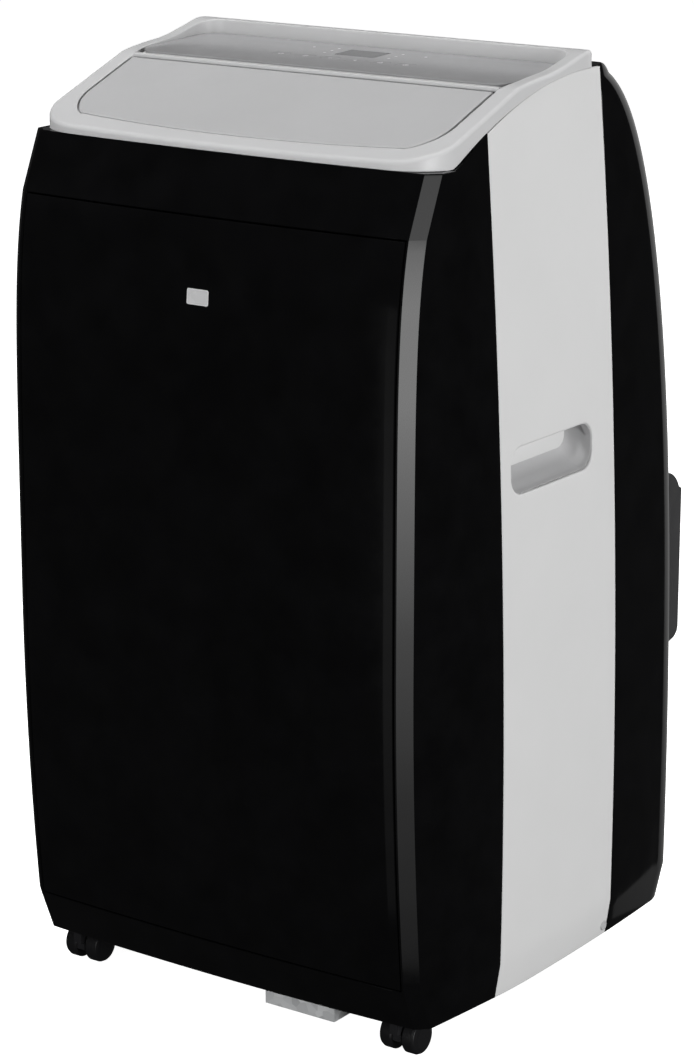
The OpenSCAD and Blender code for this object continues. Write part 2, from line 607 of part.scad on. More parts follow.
// ---- Casters -------------------------------------------------------------
hood_z = tray_z - 0.4;
wheel_w = 13;
rib_w = 8;
module at_caster(x, y) placed() translate([x * stem_at(y), y * stem_y, 0]) children();
module caster_hood(x, y) at_caster(x, y) color(dark_plastic) {
    difference() {
        union() {
            translate([0, 0, hood_z - eps]) cylinder(r = stem_r, h = 23);
            translate([0, 0, hood_z - 2.6]) cylinder(r = 9.5, h = 2.6);
            translate([-rib_w / 2, -8, wheel_r + 4]) cube([rib_w, 16, hood_z - wheel_r - 5]);
            translate([-rib_w / 2, axle_trail, wheel_r]) tube_x(9, rib_w);
            translate([-rib_w / 2, -4, wheel_r - 3]) cube([rib_w, axle_trail + 4, 9]);
        }
        translate([-rib_w, axle_trail, wheel_r]) tube_x(2.56, 2 * rib_w);
    }
}
module caster_wheels(x, y) at_caster(x, y) color("#17181a") translate([0, axle_trail, wheel_r]) {
    for (s = [0, 1]) mirror([s, 0, 0]) translate([rib_w / 2 + 0.5, 0, 0]) rotate([90, 0, 90])
        rotate_extrude() polygon([[0, 0.8], [6, 0.8], [6, 0], [wheel_r - 1.5, 0], [wheel_r, 1.5],
            [wheel_r, wheel_w - 4], [wheel_r - 1.2, wheel_w - 1.6], [wheel_r - 4, wheel_w - 0.4],
            [wheel_r - 6, wheel_w], [0, wheel_w]]);
    translate([-rib_w / 2 - 2, 0, 0]) tube_x(2.5, rib_w + 4);
}
module caster_hood_front_left() caster_hood(-1, -1);
module caster_hood_front_right() caster_hood(1, -1);
module caster_hood_rear_left() caster_hood(-1, 1);
module caster_hood_rear_right() caster_hood(1, 1);
module caster_wheels_front_left() caster_wheels(-1, -1);
module caster_wheels_front_right() caster_wheels(1, -1);
module caster_wheels_rear_left() caster_wheels(-1, 1);
module caster_wheels_rear_right() caster_wheels(1, 1);

// ---- Cooling circuit and blowers -----------------------------------------
divider_z = 414;
module divider_tray() placed() color(dark_plastic) difference() {
    union() {
        difference() {
            translate([0, 2, divider_z]) linear_extrude(20) rounded_rect(390, 340, 20);
            translate([0, 2, divider_z + wall]) linear_extrude(40) rounded_rect(384, 334, 17);
        }
        translate([spout_high[0], 168, spout_high[1]]) tube_y(9, half_d + 12 - 168);
    }
    translate([spout_high[0], 160, spout_high[1]]) tube_y(6, 70);
    for (x = [-150, -130]) translate([x, 60, divider_z - 1]) cylinder(r = 7, h = 10);
}
module coil(w, d, h, rows) {
    translate([-w / 2 + 2, -d / 2, 0]) cube([w - 4, d, h]);
    for (s = [-1, 1]) translate([s * (w / 2 - 1) - 1, -d / 2 - 2, -2]) cube([2, d + 4, h + 4]);
    for (s = [-1, 1], i = [0 : rows - 1], y = [-d / 4, d / 4]) translate([s * w / 2, y, h * (i + 0.5) / rows])
        rotate([0, 90 * s, 0]) rotate([0, 0, 90]) rotate([90, 0, 0])
        rotate_extrude(angle = 180) translate([h / rows / 4, 0]) circle(2.4);
}
module evaporator_coil() placed() color("#c9a27c") translate([0, 126, 450]) coil(320, 34, 200, 8);
module condenser_coil() placed() color("#c9a27c") translate([-84, 158, 78]) coil(168, 36, 320, 12);

module scroll(r, depth, mouth_w, mouth_h, inlet_r) {
    module outer(g) {
        circle(r + g);
        translate([-r - g, 0]) square([mouth_w + 2 * g, mouth_h]);
    }
    difference() {
        linear_extrude(depth) outer(0);
        translate([0, 0, 2.4]) linear_extrude(depth - 4.8) {
            circle(r - 2.4);
            translate([-r + 2.4, 0]) square([mouth_w - 4.8, mouth_h + 1]);
        }
        translate([0, 0, depth - 5]) cylinder(r = inlet_r, h = 10);
        translate([0, 0, -1]) cylinder(r = 7, h = 5);
    }
}
module blower_wheel(r, depth, shaft) {
    blades = 30;
    difference() {
        union() {
            cylinder(r = r, h = 2);
            translate([0, 0, 1]) cylinder(r1 = 22, r2 = 12, h = 18);
            translate([0, 0, depth - 3]) difference() {
                cylinder(r = r, h = 3);
                translate([0, 0, -1]) cylinder(r = r - 9, h = 5);
            }
            for (i = [0 : blades - 1]) rotate(i * 360 / blades) translate([r - 5, 0, 0]) rotate(35)
                translate([-4.4, -0.6, 1]) cube([9, 1.2, depth - 2]);
        }
        translate([0, 0, -1]) cylinder(r = shaft, h = 30);
    }
}
fan_x = 17;
fan_z = 520;
shaft_r = 4;
module evaporator_housing() placed() color(white_plastic) translate([fan_x, duct_front + 1, fan_z])
    mirror([0, 1, 0]) rotate([90, 0, 0]) scroll(92, 74, 150, 97.7, 62);
module evaporator_wheel() placed() color("#3a3d40") translate([fan_x, duct_front + 7, fan_z])
    rotate([-90, 0, 0])
    blower_wheel(72, 56, shaft_r + 0.05);
module motor(r, length, shaft_len) {
    cylinder(r = r, h = length);
    translate([0, 0, length - eps]) cylinder(r = 12, h = 4);
    cylinder(r = shaft_r, h = length + shaft_len);
    for (a = [45 : 90 : 315]) rotate(a) translate([r - 2, -5, 0]) cube([12, 10, 3]);
}
module evaporator_motor() placed() color(steel) translate([fan_x, duct_front - 38, fan_z]) rotate([-90, 0, 0])
    motor(38, 34, 30);
condenser_axis = [40, port_z - 18];
module condenser_housing() placed() color(white_plastic) translate([port_x - 48, condenser_axis[0],
    condenser_axis[1]])
    rotate([90, 0, 90]) rotate(-90) scroll(78, 96, 120, 108, 52);
module condenser_wheel() placed() color("#3a3d40") translate([port_x - 36, condenser_axis[0],
    condenser_axis[1]])
    rotate([0, 90, 0]) blower_wheel(62, 72, shaft_r + 0.05);
module condenser_motor() placed() color(steel) translate([port_x - 90, condenser_axis[0], condenser_axis[1]])
    rotate([0, 90, 0]) motor(34, 36, 34);

comp = [-104, -64];
comp_r = 54;
module compressor() placed() color("#1d1f21") translate([comp[0], comp[1], 0]) {
    translate([0, 0, 62]) cylinder(r = comp_r, h = 190);
    translate([0, 0, 252 - eps]) cylinder(r1 = comp_r, r2 = comp_r - 22, h = 14);
    for (a = [90, 210, 330]) rotate(a) translate([comp_r - 14, -13, 56]) cube([30, 26, 4]);
    translate([0, 0, 56]) cylinder(r = 44, h = 8);
    translate([comp_r + 24, 0, 110]) cylinder(r = 22, h = 110);
    translate([comp_r + 10, 0, 130]) rotate([0, -90, 0]) cylinder(r = 5, h = 20);
    translate([0, 0, 262]) cylinder(r = 14, h = 12);
}
module compressor_grommets() placed() color("#0c0c0c") translate([comp[0], comp[1], 0])
    for (a = [90, 210, 330]) rotate(a) translate([comp_r + 6, 0, tray_z + wall]) {
        cylinder(r = 9, h = 18.9);
        translate([0, 0, 23.1]) cylinder(r = 8, h = 1.7);
    }
module pipe(points, r) for (i = [0 : len(points) - 1]) {
    translate(points[i]) sphere(r = r + 0.5, $fn = 24);
    if (i > 0) let (d = points[i] - points[i - 1], n = norm(d)) translate(points[i - 1])
        rotate([0, acos(d[2] / n), atan2(d[1], d[0])]) cylinder(r = r, h = n);
}
module refrigerant_pipes() placed() color(copper) {
    pipe([[-104, -64, 279], [-104, -64, 340], [-40, 20, 340], [-40, 120, 340], [-40, 133, 340]], 4);
    pipe([[-26, -64, 226], [-26, -64, 380], [-150, 60, 380], [-150, 60, 470], [-150, 101, 480]], 5);
    pipe([[-90, 134, 96], [-90, 60, 96], [-130, 60, 400], [-130, 60, 520], [-130, 103, 520]], 3);
}
module electrical_box() placed() color(white_plastic) difference() {
    translate([66, -165, 76]) cube([114, 92, 130]);
    translate([69, -162, 79]) cube([108, 86, 130]);
}

// ---- Small fittings ------------------------------------------------------
cord_r = 4.2;
module cord_gland() placed() color(dark_plastic) translate([gland[0], 0, gland[1]]) difference() {
    union() {
        translate([0, half_d - 16, 0]) tube_y(9, 17);
        translate([0, half_d + 0.3, 0]) tube_y(12.5, 5);
        translate([0, half_d + 5.2, 0]) tube_y(7, 8);
    }
    translate([0, half_d - 40, 0]) tube_y(cord_r, 80);
}
module drain_plug(p) placed() color("#0c0c0c") {
    translate([p[0], half_d + 12.2, p[1]]) tube_y(10.5, 4);
    translate([p[0], half_d - 2, p[1]]) tube_y(5.7, 15);
    translate([p[0], half_d + 16, p[1]]) tube_y(4, 4);
}
module drain_plug_upper() drain_plug(spout_high);
module drain_plug_lower() drain_plug(spout_low);
module panel_screws() placed() color(steel) for (s = [-1, 1])
    translate([s * (side_x(screw_y, screw_z, 0) - 6.3), screw_y, screw_z]) rotate([0, s * 90, 0]) {
        cylinder(r = 4, h = 6);
        translate([0, 0, -6]) cylinder(r = 2, h = 7);
    }

base_tray();
chassis_rail();
front_frame();
front_panel();
receiver_window();
side_panel_left();
side_panel_right();
handle_pocket_left();
handle_pocket_right();
rear_cover();
exhaust_port();
hose_adaptor();
upper_grille();
upper_filter();
lower_grille();
lower_filter();
top_cover();
outlet_flap();
control_panel();
display_window();
indicator_lamps();
key_power();
key_mode();
key_down();
key_up();
key_fan();
key_timer();
control_board();
outlet_duct();
vane_1();
vane_2();
vane_3();
vane_4();
vane_link();
divider_tray();
evaporator_coil();
evaporator_housing();
evaporator_wheel();
evaporator_motor();
condenser_coil();
condenser_housing();
condenser_wheel();
condenser_motor();
compressor();
compressor_grommets();
refrigerant_pipes();
electrical_box();
cord_gland();
drain_plug_upper();
drain_plug_lower();
panel_screws();
caster_hood_front_left();
caster_hood_front_right();
caster_hood_rear_left();
caster_hood_rear_right();
caster_wheels_front_left();
caster_wheels_front_right();
caster_wheels_rear_left();
caster_wheels_rear_right();
flap_motor();
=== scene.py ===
# Portable room air conditioner: the looks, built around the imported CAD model.
import json
from math import atan, cos, hypot, pi, radians, sin, sqrt
import bmesh
import bpy
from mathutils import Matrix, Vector

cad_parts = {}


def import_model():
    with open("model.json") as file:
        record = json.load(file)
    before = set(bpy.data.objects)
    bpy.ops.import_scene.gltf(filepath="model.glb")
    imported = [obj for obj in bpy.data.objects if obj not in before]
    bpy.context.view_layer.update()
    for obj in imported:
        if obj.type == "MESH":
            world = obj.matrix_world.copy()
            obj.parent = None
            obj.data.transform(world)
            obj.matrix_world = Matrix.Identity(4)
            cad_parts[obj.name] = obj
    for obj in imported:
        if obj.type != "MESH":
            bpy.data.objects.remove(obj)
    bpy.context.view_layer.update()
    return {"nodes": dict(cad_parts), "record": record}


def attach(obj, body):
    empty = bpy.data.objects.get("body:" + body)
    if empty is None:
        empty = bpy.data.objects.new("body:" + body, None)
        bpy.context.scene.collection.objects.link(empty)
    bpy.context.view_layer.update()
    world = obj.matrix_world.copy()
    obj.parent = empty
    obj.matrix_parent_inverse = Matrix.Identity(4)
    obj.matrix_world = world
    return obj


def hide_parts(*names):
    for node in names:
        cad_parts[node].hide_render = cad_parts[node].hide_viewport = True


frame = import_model()
nodes = frame["nodes"]
record = frame["record"]
slot_of = {s["node"]: s["material_slot"] for s in record["subparts"]}
body_of = {n: b for b, ns in record["behaviour"]["bodies"].items() for n in ns}
SHIFT = 20.0  # the shell's own y = 0 lies this far in front of the frame's, in mm

HANDS = ((-1, "left"), (1, "right"))


def new_object(name, data):
    ob = bpy.data.objects.new(name, data)
    bpy.context.scene.collection.objects.link(ob)
    return ob


# ---------------------------------------------------------------- camera
camera = new_object("camera", bpy.data.cameras.new("camera"))
camera.location = (1.5130, -2.1572, 1.0971)
camera.rotation_euler = Vector((-0.5564, 0.7863, -0.2686)).to_track_quat("-Z", "Y").to_euler()
camera.data.lens = 113.3
camera.data.sensor_width = 36
camera.data.clip_end = 100
bpy.context.scene.camera = camera


# ---------------------------------------------------------------- materials
def new_material(name):
    m = bpy.data.materials.new(name)
    m.use_nodes = True
    t = m.node_tree
    t.nodes.clear()
    out = t.nodes.new("ShaderNodeOutputMaterial")
    p = t.nodes.new("ShaderNodeBsdfPrincipled")
    t.links.new(p.outputs[0], out.inputs[0])
    return m, t, p


def noise(t, scale, detail=4.0, rough=0.55, stretch=(1, 1, 1)):
    c = t.nodes.new("ShaderNodeTexCoord")
    mp = t.nodes.new("ShaderNodeMapping")
    mp.inputs["Scale"].default_value = stretch
    n = t.nodes.new("ShaderNodeTexNoise")
    n.inputs["Scale"].default_value = scale
    n.inputs["Detail"].default_value = detail
    n.inputs["Roughness"].default_value = rough
    t.links.new(c.outputs["Object"], mp.inputs[0])
    t.links.new(mp.outputs[0], n.inputs["Vector"])
    return n.outputs["Fac"]


def spread(t, fac, low, high, a=0.3, b=0.7):
    r = t.nodes.new("ShaderNodeMapRange")
    r.inputs["From Min"].default_value = a
    r.inputs["From Max"].default_value = b
    r.inputs["To Min"].default_value = low
    r.inputs["To Max"].default_value = high
    t.links.new(fac, r.inputs["Value"])
    return r.outputs[0]


def shades(t, fac, c0, c1, a=0.3, b=0.7):
    r = t.nodes.new("ShaderNodeValToRGB")
    r.color_ramp.elements[0].position = a
    r.color_ramp.elements[1].position = b
    r.color_ramp.elements[0].color = (*c0, 1)
    r.color_ramp.elements[1].color = (*c1, 1)
    t.links.new(fac, r.inputs[0])
    return r.outputs[0]


def add_bump(t, p, fac, strength, distance, before=None):
    b = t.nodes.new("ShaderNodeBump")
    b.inputs["Strength"].default_value = strength
    b.inputs["Distance"].default_value = distance
    t.links.new(fac, b.inputs["Height"])
    if before is not None:
        t.links.new(before, b.inputs["Normal"])
    t.links.new(b.outputs[0], p.inputs["Normal"])
    return b.outputs[0]


def varied(colour, vary):
    """A darker and a lighter shade of one colour."""
    return [c * (1 - vary) for c in colour], [min(1, c * (1 + vary)) for c in colour]


def bands(t, coords, direction, scale, distortion):
    w = t.nodes.new("ShaderNodeTexWave")
    w.bands_direction = direction
    w.inputs["Scale"].default_value = scale
    w.inputs["Distortion"].default_value = distortion
    t.links.new(coords.outputs["Object"], w.inputs["Vector"])
    return w.outputs["Fac"]


def plastic(name, colour, vary, rough, grain_scale, grain, sheen_noise=14, wave=0.0):
    m, t, p = new_material(name)
    slow = noise(t, sheen_noise, 3)
    t.links.new(shades(t, slow, *varied(colour, vary)), p.inputs["Base Color"])
    t.links.new(spread(t, noise(t, 55, 6, 0.7), rough[0], rough[1]), p.inputs["Roughness"])
    n = add_bump(t, p, noise(t, grain_scale, 3, 0.6), grain, 0.0002)
    if wave:
        add_bump(t, p, noise(t, 22, 2), wave, 0.0006, n)
    return m


def metal(name, colour, rough, stretch=(1, 1, 1), scale=60, vary=0.12):
    m, t, p = new_material(name)
    p.inputs["Metallic"].default_value = 1.0
    f = noise(t, scale, 5, 0.65, stretch)
    t.links.new(shades(t, f, *varied(colour, vary)), p.inputs["Base Color"])
    t.links.new(spread(t, noise(t, 90, 4), rough[0], rough[1]), p.inputs["Roughness"])
    add_bump(t, p, f, 0.15, 0.0002)
    return m


def galvanised():
    m, t, p = new_material("galvanised")
    p.inputs["Metallic"].default_value = 0.4
    c = t.nodes.new("ShaderNodeTexCoord")
    v = t.nodes.new("ShaderNodeTexVoronoi")
    v.inputs["Scale"].default_value = 110
    t.links.new(c.outputs["Object"], v.inputs["Vector"])
    tone = shades(t, v.outputs["Color"], (0.62, 0.63, 0.64), (0.86, 0.87, 0.88), 0.2, 0.8)
    t.links.new(tone, p.inputs["Base Color"])
    t.links.new(spread(t, v.outputs["Color"], 0.28, 0.46, 0, 1), p.inputs["Roughness"])
    add_bump(t, p, noise(t, 160, 4), 0.2, 0.0002)
    return m


def fins():
    m, t, p = new_material("fin_aluminium")
    p.inputs["Metallic"].default_value = 1.0
    c = t.nodes.new("ShaderNodeTexCoord")
    # The bright bands are the fins' own metal; the dark bands between them are painted shade in the gaps between
    # fins.
    fin = bands(t, c, "X", 180, 0.3)
    t.links.new(shades(t, fin, (0.12, 0.12, 0.12), (0.78, 0.78, 0.79), 0.2, 0.8), p.inputs["Base Color"])
    t.links.new(spread(t, noise(t, 60), 0.3, 0.5), p.inputs["Roughness"])
    add_bump(t, p, fin, 0.6, 0.0006)
    return m


def net(name):
    m, t, p = new_material(name)
    c = t.nodes.new("ShaderNodeTexCoord")
    threads = t.nodes.new("ShaderNodeMath")
    threads.operation = "MAXIMUM"
    for i, direction in enumerate(("X", "Z")):
        t.links.new(bands(t, c, direction, 130, 0), threads.inputs[i])
    weave = threads.outputs[0]
    t.links.new(shades(t, weave, (0.015, 0.016, 0.018), (0.20, 0.21, 0.23), 0.6, 0.9), p.inputs["Base Color"])
    t.links.new(spread(t, noise(t, 70), 0.5, 0.7), p.inputs["Roughness"])
    add_bump(t, p, weave, 0.7, 0.0006)
    return m


MATS = {
    "gloss_black": plastic("gloss_black", (0.0022, 0.0022, 0.0024), 0.25, (0.055, 0.10), 700, 0.012, 30, 0.012),
    "satin_black": plastic("satin_black", (0.030, 0.030, 0.031), 0.12, (0.34, 0.46), 1500, 0.12),
    "side_grey": plastic("side_grey", (0.60, 0.60, 0.60), 0.012, (0.40, 0.50), 1900, 0.10),
    "top_grey": plastic("top_grey", (0.50, 0.50, 0.505), 0.015, (0.30, 0.40), 1700, 0.08),
    "flap_grey": plastic("flap_grey", (0.42, 0.42, 0.425), 0.015, (0.30, 0.40), 1700, 0.08),
    "deck_film": plastic("deck_film", (0.30, 0.30, 0.305), 0.02, (0.16, 0.24), 900, 0.03),
    "display_tint": plastic("display_tint", (0.085, 0.087, 0.09), 0.05, (0.10, 0.16), 900, 0.02),
    "receiver_lens": plastic("receiver_lens", (0.52, 0.52, 0.525), 0.04, (0.22, 0.32), 1200, 0.05),
    "lamp_white": plastic("lamp_white", (0.62, 0.62, 0.62), 0.05, (0.2, 0.3), 1200, 0.05),
    "dark_plastic": plastic("dark_plastic", (0.011, 0.011, 0.012), 0.12, (0.36, 0.52), 1300, 0.18),
    "white_plastic": plastic("white_plastic", (0.70, 0.70, 0.67), 0.03, (0.45, 0.6), 600, 0.25),
    "filter_net": net("filter_net"),
    "rubber_black": plastic("rubber_black", (0.012, 0.012, 0.012), 0.15, (0.55, 0.7), 900, 0.25),
    "caster_black": plastic("caster_black", (0.007, 0.007, 0.0075), 0.15, (0.25, 0.38), 900, 0.12),
    "galvanised": galvanised(),
    "motor_steel": metal("motor_steel", (0.42, 0.43, 0.44), (0.3, 0.45), (1, 1, 8)),
    "compressor_black": plastic("compressor_black", (0.012, 0.012, 0.013), 0.2, (0.22, 0.35), 300, 0.15),
    "copper_pipe": metal("copper_pipe", (0.62, 0.27, 0.13), (0.25, 0.42)),
    "fin_aluminium": fins(),
    "board_green": plastic("board_green", (0.02, 0.11, 0.045), 0.2, (0.3, 0.4), 400, 0.2),
    "print_white": plastic("print_white", (0.60, 0.60, 0.60), 0.03, (0.4, 0.5), 900, 0.05),
}


# ---------------------------------------------------------------- meshes
def world(p):
    return (p[0] / 1000, (p[1] - SHIFT) / 1000, p[2] / 1000)


def new_mesh(name, verts, faces, fix=True, join=True):
    """A mesh from points in mm. fix turns its faces outward, and join also merges points that coincide."""
    me = bpy.data.meshes.new(name)
    me.from_pydata([world(v) for v in verts], [], faces)
    if fix:
        b = bmesh.new()
        b.from_mesh(me)
        if join:
            bmesh.ops.remove_doubles(b, verts=b.verts, dist=1e-6)
        bmesh.ops.recalc_face_normals(b, faces=b.faces)
        b.to_mesh(me)
        b.free()
    return me


def shade(me, sharp):
    """Smooth shading, with edges steeper than an angle kept sharp."""
    me.polygons.foreach_set("use_smooth", [True] * len(me.polygons))
    me.set_sharp_from_angle(angle=radians(sharp))


def add(name, verts, faces, slot, body, replaces=(), sharp=24, material=None, fix=True):
    """A closed mesh from points in mm in the shell's own frame, riding on a body."""
    me = new_mesh(name, verts, faces, fix)
    shade(me, sharp)
    ob = new_object(name, me)
    me.materials.append(material or MATS[slot])
    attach(ob, body)
    if replaces:
        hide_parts(*replaces)
    return ob


def bake(ob, sharp=24):
    """Applies the modifiers of a piece and marks its sharp edges again."""
    bpy.context.view_layer.update()
    dg = bpy.context.evaluated_depsgraph_get()
    me = bpy.data.meshes.new_from_object(ob.evaluated_get(dg))
    ob.modifiers.clear()
    ob.data = me
    shade(me, sharp)
    return ob


def bevel(ob, width, segments=3, angle=35, sharp=24):
    m = ob.modifiers.new("bevel", "BEVEL")
    m.width = width / 1000
    m.segments = segments
    m.limit_method = "ANGLE"
    m.angle_limit = radians(angle)
    return bake(ob, sharp)


def cut(ob, *cutters):
    for c in cutters:
        m = ob.modifiers.new("cut", "BOOLEAN")
        m.operation = "DIFFERENCE"
        m.solver = "EXACT"
        m.object = c
    bake(ob)
    for c in cutters:
        bpy.data.objects.remove(c)
    return ob


def cutter(verts, faces):
    return new_object("cutter", new_mesh("cutter", verts, faces, join=False))


def prism(outline, axis, low, high):
    """An outline pushed along an axis: x takes (y, z), y takes (x, z), z takes (x, y)."""
    n = len(outline)
    put = {"x": lambda p, a: (a, p[0], p[1]),
           "y": lambda p, a: (p[0], a, p[1]),
           "z": lambda p, a: (p[0], p[1], a)}[axis]
    verts = [put(p, low) for p in outline] + [put(p, high) for p in outline]
    faces = [list(range(n)), list(range(n, 2 * n))[::-1]]
    faces += [[i, (i + 1) % n, n + (i + 1) % n, n + i] for i in range(n)]
    return verts, faces


def arc(cx, cy, r, a0, a1, n):
    turns = [radians(a0 + (a1 - a0) * i / n) for i in range(n + 1)]
    return [(cx + r * cos(a), cy + r * sin(a)) for a in turns]


def round_rect(cx, cy, w, h, r, n=10):
    out = []
    for sx, sy, a in ((1, -1, -90), (1, 1, 0), (-1, 1, 90), (-1, -1, 180)):
        out += arc(cx + sx * (w / 2 - r), cy + sy * (h / 2 - r), r, a, a + 90, n)
    return out


def circle(cx, cy, r, n=64):
    return arc(cx, cy, r, 0, 360 - 360 / n, n - 1)


def lathe(profile, place, n=64):
    """A closed profile of (radius, along) turned about an axis; place maps (u, v, along) to a point."""
    verts, faces, k = [], [], len(profile)
    for i in range(n):
        a = 2 * pi * i / n
        verts += [place(r * cos(a), r * sin(a), w) for r, w in profile]
    for i in range(n):
        j = (i + 1) % n
        faces += [[i * k + m, j * k + m, j * k + m + 1, i * k + m + 1] for m in range(k - 1)]
        if profile[0][0] > 0 or profile[-1][0] > 0:
            faces.append([i * k + k - 1, j * k + k - 1, j * k, i * k])
    return verts, faces


def merge(*parts):
    verts, faces = [], []
    for v, f in parts:
        faces += [[i + len(verts) for i in q] for q in f]
        verts += v
    return verts, faces


def fillet(d, r):
    """Depth under the skin at distance d from an edge that is rounded to radius r."""
    return 0.0 if d >= r else r - sqrt(max(0.0, r * r - (r - d) ** 2))


ROUND = (0.0, 0.08, 0.3, 0.62, 1.0)  # shares of an edge's radius where a row of points lies
EASE = (0, 0.1, 0.3, 0.6, 1)
FAR = 99  # stands for a distance past any rounded edge


def patch(us, vs, point, hole=lambda i, j: False):
    """A closed shell over a grid: point(u, v, side) gives the outer (0) and inner (1) surface."""
    nu, nv = len(us), len(vs)
    verts = [point(u, v, s) for s in (0, 1) for v in vs for u in us]
    at = lambda j, i, s: s * nu * nv + j * nu + i
    solid = lambda j, i: 0 <= i < nu - 1 and 0 <= j < nv - 1 and not hole(i, j)
    faces = []
    for j in range(nv - 1):
        for i in range(nu - 1):
            if not solid(j, i):
                continue
            faces.append([at(j, i, 0), at(j + 1, i, 0), at(j + 1, i + 1, 0), at(j, i + 1, 0)])
            faces.append([at(j, i, 1), at(j, i + 1, 1), at(j + 1, i + 1, 1), at(j + 1, i, 1)])
            if not solid(j - 1, i):
                faces.append([at(j, i, 0), at(j, i + 1, 0), at(j, i + 1, 1), at(j, i, 1)])
            if not solid(j + 1, i):
                faces.append([at(j + 1, i + 1, 0), at(j + 1, i, 0), at(j + 1, i, 1), at(j + 1, i + 1, 1)])
            if not solid(j, i - 1):
                faces.append([at(j + 1, i, 0), at(j, i, 0), at(j, i, 1), at(j + 1, i, 1)])
            if not solid(j, i + 1):
                faces.append([at(j, i + 1, 0), at(j + 1, i + 1, 0), at(j + 1, i + 1, 1), at(j, i + 1, 1)])
    return verts, faces


def steps(a, b, n):
    return [a + (b - a) * i / n for i in range(n + 1)]


def ring_loft(rings, closed_ends=(True, True)):
    """Joins rings of equal length; each end may be closed by one face."""
    k = len(rings[0])
    verts = [p for r in rings for p in r]
    faces = [[m * k + i, m * k + (i + 1) % k, (m + 1) * k + (i + 1) % k, (m + 1) * k + i]
             for m in range(len(rings) - 1) for i in range(k)]
    if closed_ends[0]:
        faces.append(list(range(k)))
    if closed_ends[1]:
        faces.append([(len(rings) - 1) * k + i for i in range(k)][::-1])
    return verts, faces


# ---------------------------------------------------------------- the skin, as in the CAD
H, HALF_D, PANEL = 765.0, 198.0, 180.0
CREASE, TOP = 652.0, 698.0
SIDE_FRONT, SIDE_REAR = -90.0, 75.0
SEAM = PANEL + 2  # where the front turns into the bevel strip
GAP = 0.12  # between a side panel and the shells beside it
FOOT = 66  # below this height the shells draw in
SHELL_LOW, FOOT_DIP, FOOT_TOP = 36, 6.4, 48
FRONT_LOW = SHELL_LOW - FOOT_DIP


def half_w(z, o=0):
    return 215.5 - 23.8 * ((z - 150) / 565) ** 2 - 0.15 * max(0, FOOT - z) - o


def front_y(z, o=0):
    if z < 325:
        d = 13 * ((325 - z) / 269) ** 2 + 0.3 * max(0, FOOT - z)
    elif z < CREASE:
        d = 13 * ((z - 325) / 327) ** 6
    else:
        d = 13 + 20 * (z - CREASE) / (TOP - CREASE)
    return o - HALF_D + d


def lid(z):
    return min(1, max(0, (z - 690) / 60))


def rear_y(z, o=0):
    base = HALF_D - 0.15 * max(0, FOOT - z) if z < 300 else HALF_D * max(0.0, 1 - ((z - 300) / 455) ** 2.5) ** 0.195
    return base - o * (1 - 0.6 * lid(z))


def rear_round(z, o=0):
    return min(41 - o, rear_y(z, o) - SIDE_REAR - 1)


def bevel_f(z, o=0):
    return (SEAM - 0.4 * o, front_y(z) + 7 * (SEAM / half_w(z)) ** 2 + 0.92 * o)


def bevel_v(z, o=0):
    return (SEAM + 9.5 - 0.85 * o, front_y(z) + 7 * (SEAM / half_w(z)) ** 2 + 9 + 0.53 * o)


def side_x(y, z, o=0):
    w = half_w(z, o)
    if y < 0:
        v = bevel_v(z, o)
        return w - (w - v[0]) * (y / v[1]) ** 3.4
    return w - 5 * (y / 157) ** 2


def front_pt(u, z, o):
    f = bevel_f(z, o)
    return (u * f[0], front_y(z, o) + (f[1] - front_y(z, o)) * u * u)


def corner_pt(t, z, o):
    r = rear_round(z, o)
    y = rear_y(z, o) - r
    a = (side_x(y, z, o), y)
    b = (a[0] - r, rear_y(z, o))
    c = (a[0], b[1])
    w = sqrt(0.5)
    k = (1 - t) ** 2 + 2 * w * t * (1 - t) + t * t
    return tuple((a[i] * (1 - t) ** 2 + c[i] * 2 * w * t * (1 - t) + b[i] * t * t) / k for i in (0, 1))


def edge_z(y):
    return max(TOP, H - 13.3 - 0.00148 * (57 - y) ** 2)


# ---------------------------------------------------------------- front frame
R = 0.9
HEAD = 675  # above this height the rows follow the cover's edge
FLANK = 80  # about the width of the black strip beside a side panel


def edge_steps(a, b, n, ra=0.0, rb=0.0):
    """Values from a to b, closer together at a rounded end, each with its distance to the rounded ends."""
    s = 1 if b > a else -1
    lo = [a + s * ra * k for k in ROUND] if ra else [a]
    hi = [b - s * rb * k for k in ROUND][::-1] if rb else [b]
    mid = steps(lo[-1], hi[0], n)[1:-1]
    return [(v, min(abs(v - a) if ra else FAR, abs(b - v) if rb else FAR)) for v in lo + mid + hi]


